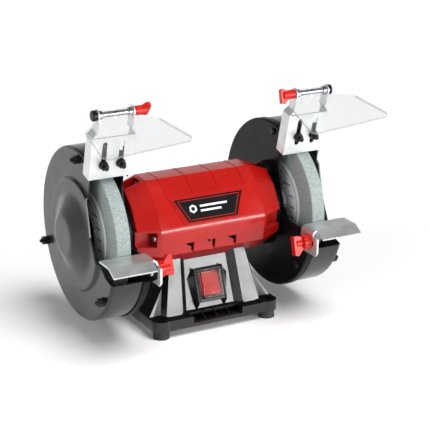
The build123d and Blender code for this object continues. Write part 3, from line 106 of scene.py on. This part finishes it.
def both(name):
    """The names of a left and a right node."""
    return [f"{name}_{side}" for side in SIDES]


def place(piece):
    """Moves a piece's place into its mesh."""
    only(piece)
    bpy.ops.object.transform_apply(location=True, rotation=True, scale=True)


def eased(node, width, material, segments=2, level=True):
    """A copy of a CAD node with its sharp edges eased, which is shown in its place.

    A level copy has the shading of its flat faces evened out.
    """
    source = nodes[node]
    piece = source.copy()
    piece.data = source.data.copy()
    piece.parent = None
    piece.name = node + "_eased"
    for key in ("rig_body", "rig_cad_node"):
        del piece[key]
    bpy.context.scene.collection.objects.link(piece)
    only(piece)
    bpy.ops.object.mode_set(mode="EDIT")
    bpy.ops.mesh.select_all(action="SELECT")
    bpy.ops.mesh.remove_doubles(threshold=MERGE_DISTANCE)
    bpy.ops.mesh.dissolve_limited(angle_limit=radians(FLAT_ANGLE))
    bpy.ops.object.mode_set(mode="OBJECT")
    if "sharp_edge" in piece.data.attributes:
        piece.data.attributes.remove(piece.data.attributes["sharp_edge"])
    bevel = piece.modifiers.new("edges", "BEVEL")
    bevel.width = width
    bevel.segments = segments
    bevel.limit_method = "ANGLE"
    bevel.angle_limit = radians(EASED_ANGLE)
    bevel.use_clamp_overlap = True
    bpy.ops.object.modifier_apply(modifier=bevel.name)
    bpy.ops.object.shade_smooth_by_angle(angle=radians(SMOOTH_ANGLE if level else FLAT_SMOOTH_ANGLE))
    if level:
        weights = piece.modifiers.new("normals", "WEIGHTED_NORMAL")
        weights.keep_sharp = True
        bpy.ops.object.modifier_apply(modifier=weights.name)
    dress(piece, material)
    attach(piece, body_of(node))
    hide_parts(node)
    return piece


def clear_with_edges(sheet):
    """Gives the narrow faces round a clear sheet the denser edge material, except near its hinge."""
    sheet.data.materials.append(CLEAR_EDGE)
    across = max(sheet.data.polygons, key=lambda face: face.area).normal.copy()
    hinge = max(corner[1] for corner in sheet.bound_box)
    for face in sheet.data.polygons:
        if abs(face.normal.dot(across)) < EDGE_FACING and face.center.y < hinge - CLEAR_HINGE:
            face.material_index = 1


# ---------------------------------------------------------------- materials
class Finish:
    """A material under construction: its shader, and a pattern that reads Object coordinates."""

    def __init__(self, name, color, roughness, metallic=0.0, **sockets):
        self.material = bpy.data.materials.new(name)
        self.material.use_nodes = True
        self.tree = self.material.node_tree
        self.shader = self.tree.nodes["Principled BSDF"]
        self.shader.inputs["Base Color"].default_value = (*color, 1)
        self.shader.inputs["Roughness"].default_value = roughness
        self.shader.inputs["Metallic"].default_value = metallic
        for socket, value in sockets.items():
            self.shader.inputs[socket.replace("_", " ")].default_value = value
        self.place = self.add("ShaderNodeTexCoord").outputs["Object"]

    def add(self, kind, **values):
        """A node, with its sockets and settings."""
        node = self.tree.nodes.new(kind)
        for name, value in values.items():
            socket = name.replace("_", " ")
            if socket in node.inputs:
                node.inputs[socket].default_value = value
            else:
                setattr(node, name, value)
        return node

    def link(self, source, target):
        self.tree.links.new(source, target)

    def stretched(self, scale):
        """Object coordinates, scaled along each axis."""
        mapping = self.add("ShaderNodeMapping", Scale=scale)
        self.link(self.place, mapping.inputs["Vector"])
        return mapping.outputs["Vector"]

    def noise(self, scale, detail=3.0, place=None):
        """A cloudy factor."""
        texture = self.add("ShaderNodeTexNoise", Scale=scale, Detail=detail)
        self.link(place or self.place, texture.inputs["Vector"])
        return texture.outputs["Fac"]

    def cells(self, scale):
        """A colour of its own for each grain."""
        texture = self.add("ShaderNodeTexVoronoi", Scale=scale, feature="F1")
        self.link(self.place, texture.inputs["Vector"])
        return texture.outputs["Color"]

    def ramp(self, factor, *stops):
        """Colours along a factor: each stop is (place, colour)."""
        node = self.add("ShaderNodeValToRGB")
        elements = node.color_ramp.elements
        for index, (at, color) in enumerate(stops):
            element = elements[index] if index < 2 else elements.new(at)
            element.position = at
            element.color = (*color, 1)
        self.link(factor, node.inputs["Fac"])
        return node.outputs["Color"]

    def span(self, factor, low, high, start=0.3, end=0.7):
        """A factor turned into a value between low and high."""
        node = self.add("ShaderNodeMapRange")
        node.inputs["From Min"].default_value = start
        node.inputs["From Max"].default_value = end
        node.inputs["To Min"].default_value = low
        node.inputs["To Max"].default_value = high
        self.link(factor, node.inputs["Value"])
        return node.outputs["Result"]

    def color(self, output):
        self.link(output, self.shader.inputs["Base Color"])

    def roughness(self, output):
        self.link(output, self.shader.inputs["Roughness"])

    def bump(self, height, strength, distance):
        node = self.add("ShaderNodeBump", Strength=strength, Distance=distance)
        self.link(height, node.inputs["Height"])
        self.link(node.outputs["Normal"], self.shader.inputs["Normal"])


def red_enamel():
    """Glossy red enamel on cast aluminium, with a little orange peel."""
    finish = Finish("red_enamel", (0.38, 0.006, 0.004), 0.3, Specular_IOR_Level=0.3, Coat_Weight=0.5,
                    Coat_Roughness=0.12)
    finish.color(finish.ramp(finish.noise(18), (0.3, (0.35, 0.0055, 0.0035)), (0.7, (0.41, 0.007, 0.0045))))
    finish.roughness(finish.span(finish.noise(70), 0.26, 0.36))
    finish.bump(finish.noise(420, 2), 0.05, 0.00015)
    return finish.material


def black_moulding():
    """Glossy black moulded plastic with a fine grain."""
    finish = Finish("black_moulding", (0.006, 0.006, 0.007), 0.22, Specular_IOR_Level=0.6)
    finish.color(finish.ramp(finish.noise(30), (0.3, (0.004, 0.004, 0.005)), (0.7, (0.008, 0.008, 0.009))))
    finish.roughness(finish.span(finish.noise(55), 0.18, 0.26))
    finish.bump(finish.noise(1600, 2), 0.04, 0.0001)
    return finish.material


def guard_enamel():
    """Glossy black enamel on sheet steel."""
    finish = Finish("guard_enamel", (0.008, 0.009, 0.011), 0.24, Coat_Weight=0.15, Coat_Roughness=0.12)
    finish.color(finish.ramp(finish.noise(16), (0.3, (0.007, 0.008, 0.010)), (0.7, (0.010, 0.011, 0.014))))
    finish.roughness(finish.span(finish.noise(40), 0.20, 0.30))
    finish.bump(finish.noise(500, 2), 0.04, 0.0001)
    return finish.material


def casting_enamel():
    """Gloss black enamel on a rough casting."""
    finish = Finish("casting_enamel", (0.008, 0.008, 0.009), 0.25, Specular_IOR_Level=0.3)
    finish.roughness(finish.span(finish.noise(60), 0.2, 0.34))
    finish.bump(finish.noise(260, 3), 0.15, 0.0006)
    return finish.material


def inner_enamel_painted_shade():
    """Black enamel of the inner guards, made deeper black and less reflective than the outer guards' enamel
    as painted shade for their shaded sides.
    """
    finish = Finish("inner_enamel_painted_shade", (0.004, 0.004, 0.005), 0.3, Specular_IOR_Level=0.12)
    finish.color(finish.ramp(finish.noise(20), (0.3, (0.003, 0.003, 0.004)), (0.7, (0.006, 0.006, 0.007))))
    finish.roughness(finish.span(finish.noise(50), 0.26, 0.4))
    finish.bump(finish.noise(700, 2), 0.06, 0.0002)
    return finish.material


def abrasive_grit():
    """Bonded grey-green grit: light grains, darker bond and open pores."""
    finish = Finish("abrasive_grit", (0.30, 0.34, 0.33), 0.9, Specular_IOR_Level=0.25)
    grains = finish.cells(1400)
    split = finish.add("ShaderNodeSeparateColor")
    finish.link(grains, split.inputs["Color"])
    finish.color(finish.ramp(split.outputs["Red"], (0.0, (0.20, 0.235, 0.23)), (0.3, (0.28, 0.325, 0.315)),
                             (0.75, (0.34, 0.385, 0.375)), (1.0, (0.44, 0.485, 0.475))))
    finish.roughness(finish.span(split.outputs["Green"], 0.8, 0.98, 0, 1))
    finish.bump(finish.noise(1500, 3), 0.5, 0.0004)
    return finish.material


LABEL_RADIUS = 0.05
MIX_COLOR_A, MIX_COLOR_B, MIX_COLOR_RESULT = 6, 7, 2     # the colour sockets of a Mix node, by number


def printed_label():
    """Paper blotter with a printed ring near its edge and short plain bars."""
    finish = Finish("printed_label", (0.66, 0.68, 0.69), 0.7)
    centred = finish.add("ShaderNodeVectorMath", operation="SUBTRACT")
    centred.inputs[1].default_value = (0, 0, AXLE.z)
    finish.link(finish.place, centred.inputs[0])
    flat = finish.add("ShaderNodeVectorMath", operation="MULTIPLY")
    flat.inputs[1].default_value = (0, 1, 1)
    finish.link(centred.outputs["Vector"], flat.inputs[0])
    length = finish.add("ShaderNodeVectorMath", operation="LENGTH")
    finish.link(flat.outputs["Vector"], length.inputs[0])
    radius = finish.span(length.outputs["Value"], 0, 1, 0.0, LABEL_RADIUS)
    paper, ink, bar_ink = (0.74, 0.76, 0.78), (0.10, 0.11, 0.12), (0.22, 0.23, 0.25, 1)
    nothing, full = (0, 0, 0), (1, 1, 1)
    rings = finish.ramp(radius, (0.0, paper), (0.84, paper), (0.845, ink), (0.86, ink), (0.865, paper))
    lines = finish.add("ShaderNodeTexWave", Scale=26.0, bands_direction="Z")
    finish.link(finish.place, lines.inputs["Vector"])
    bars = finish.ramp(lines.outputs["Fac"], (0.0, nothing), (0.93, nothing), (0.95, full))
    band = finish.ramp(radius, (0.0, nothing), (0.56, nothing), (0.57, full), (0.76, full), (0.77, nothing))
    where = finish.add("ShaderNodeMath", operation="MULTIPLY")
    finish.link(bars, where.inputs[0])
    finish.link(band, where.inputs[1])
    mixed = finish.add("ShaderNodeMix", data_type="RGBA")
    finish.link(where.outputs["Value"], mixed.inputs["Factor"])
    finish.link(rings, mixed.inputs[MIX_COLOR_A])
    mixed.inputs[MIX_COLOR_B].default_value = bar_ink
    finish.color(mixed.outputs[MIX_COLOR_RESULT])
    finish.bump(finish.noise(1200, 3), 0.2, 0.0001)
    return finish.material


def zinc_plate():
    """Pale zinc-plated sheet, faintly brushed along its length, with cloudy patches."""
    finish = Finish("zinc_plate", (0.8, 0.82, 0.81), 0.44, metallic=0.85)
    finish.color(finish.ramp(finish.noise(60, 4), (0.3, (0.70, 0.73, 0.72)), (0.7, (0.88, 0.90, 0.89))))
    finish.roughness(finish.span(finish.noise(90, 4), 0.38, 0.56))
    finish.bump(finish.noise(1.0, 2, finish.stretched((60, 2200, 2200))), 0.08, 0.0002)
    return finish.material


def turned_steel():
    """Bright turned steel with fine rings."""
    finish = Finish("turned_steel", (0.58, 0.58, 0.60), 0.24, metallic=1.0)
    finish.roughness(finish.span(finish.noise(120, 3), 0.18, 0.34))
    finish.bump(finish.noise(1.0, 2, finish.stretched((2500, 90, 90))), 0.06, 0.0002)
    return finish.material


def black_oxide():
    """Blackened fasteners."""
    finish = Finish("black_oxide", (0.022, 0.022, 0.024), 0.36, metallic=0.7)
    finish.color(finish.ramp(finish.noise(200), (0.3, (0.016, 0.016, 0.017)), (0.7, (0.035, 0.035, 0.038))))
    finish.roughness(finish.span(finish.noise(260), 0.28, 0.48))
    finish.bump(finish.noise(900, 2), 0.1, 0.0002)
    return finish.material


def clear_sheet(name, alpha):
    """Clear plastic that lets most light straight through."""
    finish = Finish(name, (0.30, 0.31, 0.32), 0.08, Alpha=alpha)
    finish.roughness(finish.span(finish.noise(45, 5), 0.05, 0.16, 0.4, 0.75))
    finish.bump(finish.noise(40, 2), 0.03, 0.001)
    return finish.material


def soft_cover():
    """Clear soft plastic over the switch."""
    finish = Finish("soft_cover", (0.94, 0.93, 0.93), 0.1, Transmission_Weight=1.0, IOR=1.42)
    finish.roughness(finish.span(finish.noise(60), 0.06, 0.16))
    finish.bump(finish.noise(220, 2), 0.25, 0.0006)
    return finish.material


def red_moulding():
    """Glossy red plastic of the clamp knobs."""
    finish = Finish("red_moulding", (0.50, 0.010, 0.006), 0.3, Specular_IOR_Level=0.4)
    finish.color(finish.ramp(finish.noise(90), (0.3, (0.45, 0.008, 0.005)), (0.7, (0.55, 0.012, 0.007))))
    finish.roughness(finish.span(finish.noise(130), 0.26, 0.4))
    finish.bump(finish.noise(900, 2), 0.08, 0.0002)
    return finish.material


def rocker_painted_glow():
    """Translucent red plastic of the switch rocker, with a faint red glow painted on to brighten it."""
    # the emission is a painted glow that brightens the rocker; no lamp lights it
    finish = Finish("rocker_painted_glow", (0.6, 0.012, 0.01), 0.18, Emission_Color=(0.9, 0.03, 0.02, 1),
                    Emission_Strength=0.1)
    finish.color(finish.ramp(finish.noise(110), (0.3, (0.5, 0.008, 0.006)), (0.7, (0.62, 0.014, 0.01))))
    finish.bump(finish.noise(300, 2), 0.06, 0.0003)
    return finish.material


def badge_lacquer():
    """Black lacquer of the badge."""
    finish = Finish("badge_lacquer", (0.006, 0.006, 0.007), 0.3, Specular_IOR_Level=0.25)
    finish.roughness(finish.span(finish.noise(80), 0.26, 0.4))
    finish.bump(finish.noise(1500, 2), 0.03, 0.0001)
    return finish.material


def printed_white():
    """Pale print on the badge."""
    finish = Finish("printed_white", (0.72, 0.72, 0.73), 0.4)
    finish.color(finish.ramp(finish.noise(900), (0.3, (0.68, 0.68, 0.69)), (0.7, (0.76, 0.76, 0.77))))
    return finish.material


def foot_rubber():
    """Dull black rubber."""
    finish = Finish("foot_rubber", (0.018, 0.018, 0.018), 0.7)
    finish.color(finish.ramp(finish.noise(60), (0.3, (0.013, 0.013, 0.013)), (0.7, (0.026, 0.026, 0.026))))
    finish.bump(finish.noise(1300, 4), 0.3, 0.0003)
    return finish.material


def wound_copper():
    """Varnished wire, seen as fine rings about the spindle."""
    finish = Finish("wound_copper", (0.62, 0.25, 0.10), 0.35, metallic=0.9)
    finish.color(finish.ramp(finish.noise(300), (0.3, (0.45, 0.16, 0.06)), (0.7, (0.72, 0.32, 0.14))))
    finish.bump(finish.noise(1.0, 2, finish.stretched((1400, 300, 300))), 0.6, 0.0006)
    return finish.material


def cast_aluminium():
    """Plain cast aluminium."""
    finish = Finish("cast_aluminium", (0.62, 0.62, 0.63), 0.45, metallic=1.0)
    finish.roughness(finish.span(finish.noise(100), 0.38, 0.6))
    finish.bump(finish.noise(500, 3), 0.2, 0.0004)
    return finish.material


def laminated_iron():
    """Stacked sheets of motor iron."""
    finish = Finish("laminated_iron", (0.20, 0.20, 0.21), 0.5, metallic=0.9)
    finish.bump(finish.noise(1.0, 0, finish.stretched((3000, 1, 1))), 0.5, 0.0004)
    finish.color(finish.ramp(finish.noise(150), (0.3, (0.15, 0.15, 0.16)), (0.7, (0.27, 0.27, 0.28))))
    return finish.material


def plain_brass():
    """Brass of the switch terminals."""
    finish = Finish("plain_brass", (0.72, 0.52, 0.22), 0.3, metallic=1.0)
    finish.roughness(finish.span(finish.noise(200), 0.24, 0.42))
    return finish.material


def wire_sleeve():
    """Dark sleeve of the internal leads."""
    finish = Finish("wire_sleeve", (0.03, 0.03, 0.035), 0.45)
    finish.bump(finish.noise(800, 2), 0.1, 0.0002)
    return finish.material


RED, BLACK, GUARD, CASTING = red_enamel(), black_moulding(), guard_enamel(), casting_enamel()
SHADED_INNER, MARK = inner_enamel_painted_shade(), printed_white()
GRIT, LABEL, ZINC = abrasive_grit(), printed_label(), zinc_plate()
STEEL, OXIDE = turned_steel(), black_oxide()
CLEAR, CLEAR_EDGE = clear_sheet("clear_sheet", 0.13), clear_sheet("clear_edge", 0.5)
CLEAR_COVER = soft_cover()
KNOB, ROCKER, BADGE = red_moulding(), rocker_painted_glow(), badge_lacquer()
RUBBER, COPPER, ALUMINIUM, IRON = foot_rubber(), wound_copper(), cast_aluminium(), laminated_iron()
BRASS, SLEEVE = plain_brass(), wire_sleeve()

FINISHES = {
    BLACK: ["terminal_block", "cable_gland"],
    BADGE: ["badge_plate"],
    GUARD: both("guard_cover"),
    RUBBER: ["rubber_feet"],
    ROCKER: ["switch_rocker"],
    CLEAR_COVER: ["switch_cover"],
    CASTING: both("end_shield"),
    LABEL: ["wheel_blotters"],
    OXIDE: ["cover_screws", "cover_nuts", "bracket_bolts"],
    COPPER: ["stator_windings"],
    BRASS: ["switch_terminals"],
    ALUMINIUM: ["rotor_end_rings", "run_capacitor"],
    IRON: ["stator_core", "rotor_core"],
    SLEEVE: ["internal_leads"],
}
for material, names in FINISHES.items():
    for name in names:
        dress(nodes[name], material)
for name, node in nodes.items():
    if slot_of(name) == "bright_steel" and name not in ("stator_core", "rotor_core"):
        dress(node, STEEL)

# ---------------------------------------------------------------- eased pieces
eased("motor_shell", 0.0011, RED, 3)
eased("base_housing", 0.0007, BLACK, level=False)
eased("switch_frame", 0.0004, BLACK)
for name in both("end_cap"):
    eased(name, 0.0009, RED, 3)
# the inner guards take the darkened enamel, which is painted shade
for name in both("inner_guard"):
    eased(name, 0.0004, SHADED_INNER)
for name in both("spark_bracket"):
    eased(name, 0.0003, ZINC)
for name in both("tool_rest"):
    eased(name, 0.0004, ZINC)
for name in both("eye_shield"):
    clear_with_edges(eased(name, 0.0004, CLEAR))
for name in both("shield_knob") + both("rest_knob"):
    eased(name, 0.0007, KNOB, 3)
for name in both("grinding_wheel"):
    eased(name, 0.0003, GRIT)


# ---------------------------------------------------------------- caps and the badge's mark
def shown_part(piece, name, near, material):
    """Names a finished piece, which rides with a CAD node's body, and gives it that material."""
    piece.name = name
    place(piece)
    bpy.ops.object.shade_smooth_by_angle(angle=radians(SMOOTH_ANGLE))
    dress(piece, material)
    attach(piece, body_of(near))


def rod_cap(side):
    """Black push-on cap over the hinge rod's outer head."""
    low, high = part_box("hinge_rod_" + side)
    sign = 1 if side == "right" else -1
    outer = high.x if side == "right" else low.x
    bpy.ops.object.select_all(action="DESELECT")
    middle_x = outer - sign * (ROD_HEAD_LENGTH + CAP_CLEARANCE - CAP_LENGTH / 2)
    bpy.ops.mesh.primitive_cylinder_add(vertices=48, radius=CAP_RADIUS, depth=CAP_LENGTH,
                                        location=(middle_x, (low.y + high.y) / 2, (low.z + high.z) / 2),
                                        rotation=(0, pi / 2, 0))
    cap = bpy.context.object
    bevel = cap.modifiers.new("edges", "BEVEL")
    bevel.width, bevel.segments = CAP_EDGE, 4
    bpy.ops.object.modifier_apply(modifier=bevel.name)
    shown_part(cap, "rod_cap_" + side, "hinge_rod_" + side, OXIDE)


MARK_THICK, MARK_LIFT = 0.00015, 0.00002
LINE_TOP_HALF, LINE_FOOT_HALF, LINE_HEIGHT, LINE_WIDTH = 0.0375, 0.0275, 0.0222, 0.0006
MARK_RING, RING_WALL, RING_PLACE = 0.0048, 0.42, (-0.021, 0.001, 0)     # the wall is a share of the radius
MARK_BARS = ((0.004, 0.003, 0.0165), (0.000, -0.0022, 0.0125))     # middle across, middle up, half length
MARK_BAR_HALF = 0.0011


def badge_axes():
    """The middle of the badge's face, and its directions across, up and outwards."""
    low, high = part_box("badge_plate")
    across = Vector((1, 0, 0))
    largest = max(nodes["badge_plate"].data.polygons, key=lambda face: face.area)
    outwards = largest.normal.copy()
    if outwards.y > 0:
        outwards.negate()
    up = outwards.cross(across)
    if up.z < 0:
        up.negate()
    middle = (low + high) / 2
    corners = [corner.co.dot(outwards) for corner in nodes["badge_plate"].data.vertices]
    middle += outwards * (max(corners) - middle.dot(outwards))
    return middle, across, up, outwards


def on_badge(piece, name, material):
    """Lays a flat piece, modelled in x and y about the origin, on the badge's face and gives it thickness."""
    middle, across, up, outwards = badge_axes()
    only(piece)
    bpy.ops.object.mode_set(mode="EDIT")
    bpy.ops.mesh.select_all(action="SELECT")
    bpy.ops.mesh.extrude_region_move(TRANSFORM_OT_translate={"value": (0, 0, MARK_THICK)})
    bpy.ops.mesh.select_all(action="SELECT")
    bpy.ops.mesh.normals_make_consistent(inside=False)
    bpy.ops.object.mode_set(mode="OBJECT")
    turn = Matrix((across, up, outwards)).transposed().to_4x4()
    piece.matrix_world = Matrix.Translation(middle + outwards * MARK_LIFT) @ turn
    shown_part(piece, name, "badge_plate", material)


def badge_line():
    """Thin red line that follows the badge's edge."""
    bpy.ops.object.select_all(action="DESELECT")
    bpy.ops.mesh.primitive_plane_add(size=2)
    line = bpy.context.object
    for corner in line.data.vertices:
        half = LINE_TOP_HALF if corner.co.y > 0 else LINE_FOOT_HALF
        corner.co = (half * corner.co.x, LINE_HEIGHT / 2 * corner.co.y, 0)
    bpy.ops.object.mode_set(mode="EDIT")
    bpy.ops.mesh.select_all(action="SELECT")
    bpy.ops.mesh.inset(thickness=LINE_WIDTH)
    bpy.ops.mesh.delete(type="FACE")
    bpy.ops.object.mode_set(mode="OBJECT")
    on_badge(line, "badge_line", KNOB)


def badge_mark():
    """Plain mark: a six-sided ring and two bars."""
    bpy.ops.object.select_all(action="DESELECT")
    bpy.ops.mesh.primitive_circle_add(vertices=6, radius=MARK_RING, fill_type="NGON", location=RING_PLACE)
    ring = bpy.context.object
    bpy.ops.object.mode_set(mode="EDIT")
    bpy.ops.mesh.select_all(action="SELECT")
    bpy.ops.mesh.inset(thickness=MARK_RING * RING_WALL)
    bpy.ops.mesh.delete(type="FACE")
    bpy.ops.object.mode_set(mode="OBJECT")
    bars = []
    for middle_x, middle_y, half in MARK_BARS:
        bpy.ops.mesh.primitive_plane_add(size=2, location=(middle_x, middle_y, 0))
        bar = bpy.context.object
        for corner in bar.data.vertices:
            corner.co = (half * corner.co.x, MARK_BAR_HALF * corner.co.y, 0)
        bars.append(bar)
    bpy.ops.object.select_all(action="DESELECT")
    for piece in (ring, *bars):
        piece.select_set(True)
    bpy.context.view_layer.objects.active = ring
    bpy.ops.object.join()
    place(ring)
    on_badge(ring, "badge_mark", MARK)



for side in SIDES:
    rod_cap(side)
badge_line()
badge_mark()


# ---------------------------------------------------------------- floor, light and camera
FLOOR_SIZE, FLOOR_PLACE = 16, (0, 2, 0)


def floor():
    """Pale floor that runs out of sight."""
    bpy.ops.object.select_all(action="DESELECT")
    bpy.ops.mesh.primitive_plane_add(size=FLOOR_SIZE, location=FLOOR_PLACE)
    plane = bpy.context.object
    plane.name = "floor"
    finish = Finish("floor_card", (0.96, 0.96, 0.96), 0.8, Specular_IOR_Level=0.1)
    finish.color(finish.ramp(finish.noise(1.5), (0.3, (0.955, 0.955, 0.96)), (0.7, (0.965, 0.965, 0.965))))
    dress(plane, finish.material)
    place(plane)


def softbox(name, position, target, size, power):
    """Rectangular lamp that faces a target."""
    lamp = bpy.data.lights.new(name, "AREA")
    lamp.shape = "RECTANGLE"
    lamp.size, lamp.size_y = size
    lamp.energy = power
    holder = bpy.data.objects.new(name, lamp)
    bpy.context.scene.collection.objects.link(holder)
    holder.location = position
    holder.rotation_euler = (Vector(target) - Vector(position)).to_track_quat("-Z", "Y").to_euler()


def sun(name, direction, strength, width):
    """Distant lamp that leaves no highlight. Its direction is a bearing from the front, positive to the
    right, and a height, both in degrees."""
    lamp = bpy.data.lights.new(name, "SUN")
    lamp.energy = strength
    lamp.angle = radians(width)
    holder = bpy.data.objects.new(name, lamp)
    bpy.context.scene.collection.objects.link(holder)
    bearing, height = radians(direction[0]), radians(direction[1])
    towards = Vector((sin(bearing) * cos(height), -cos(bearing) * cos(height), sin(height)))
    holder.rotation_euler = (-towards).to_track_quat("-Z", "Y").to_euler()
    holder.visible_glossy = False


CAMERA_PLACE = Vector((-0.7063, -1.3555, 0.6375))
CAMERA_YAW, CAMERA_PITCH, CAMERA_ROLL = 28.47, 18.94, 0.3
CAMERA_LENS, CAMERA_SENSOR = 122.5, 36
HORIZON_TOP = (0.30, 0.55)         # heights, as sines, between which the surroundings dim
HORIZON_BRIGHT, OVERHEAD_BRIGHT = 0.75, 0.12


def camera():
    """Long lens in front, above and to the left."""
    eye = bpy.data.objects.new("camera", bpy.data.cameras.new("camera"))
    bpy.context.scene.collection.objects.link(eye)
    turn = Matrix.Rotation(radians(-CAMERA_YAW), 4, "Z") @ Matrix.Rotation(radians(90 - CAMERA_PITCH), 4, "X")
    eye.matrix_world = Matrix.Translation(CAMERA_PLACE) @ turn @ Matrix.Rotation(radians(CAMERA_ROLL), 4, "Z")
    eye.data.lens = CAMERA_LENS
    eye.data.sensor_width = CAMERA_SENSOR
    bpy.context.scene.camera = eye


def sky():
    """Studio surroundings: bright near the floor line and dim overhead."""
    world = bpy.data.worlds.new("studio")
    world.use_nodes = True
    tree = world.node_tree
    background = tree.nodes["Background"]
    background.inputs["Color"].default_value = (0.97, 0.98, 1.0, 1)
    direction = tree.nodes.new("ShaderNodeTexCoord")
    split = tree.nodes.new("ShaderNodeSeparateXYZ")
    fall = tree.nodes.new("ShaderNodeMapRange")
    fall.inputs["From Min"].default_value = HORIZON_TOP[0]
    fall.inputs["From Max"].default_value = HORIZON_TOP[1]
    fall.inputs["To Min"].default_value = HORIZON_BRIGHT
    fall.inputs["To Max"].default_value = OVERHEAD_BRIGHT
    tree.links.new(direction.outputs["Generated"], split.inputs["Vector"])
    tree.links.new(split.outputs["Z"], fall.inputs["Value"])
    tree.links.new(fall.outputs["Result"], background.inputs["Strength"])
    bpy.context.scene.world = world


floor()
sky()
sun("high_sun", (20, 64), 2.6, 35)
sun("left_sun", (-70, 22), 0.8, 40)
softbox("strip_box", (1.22, -2.3, 0.26), (0, 0, 0.06), (2.2, 0.46), 46)
camera()
bpy.context.scene.view_settings.view_transform = "Standard"
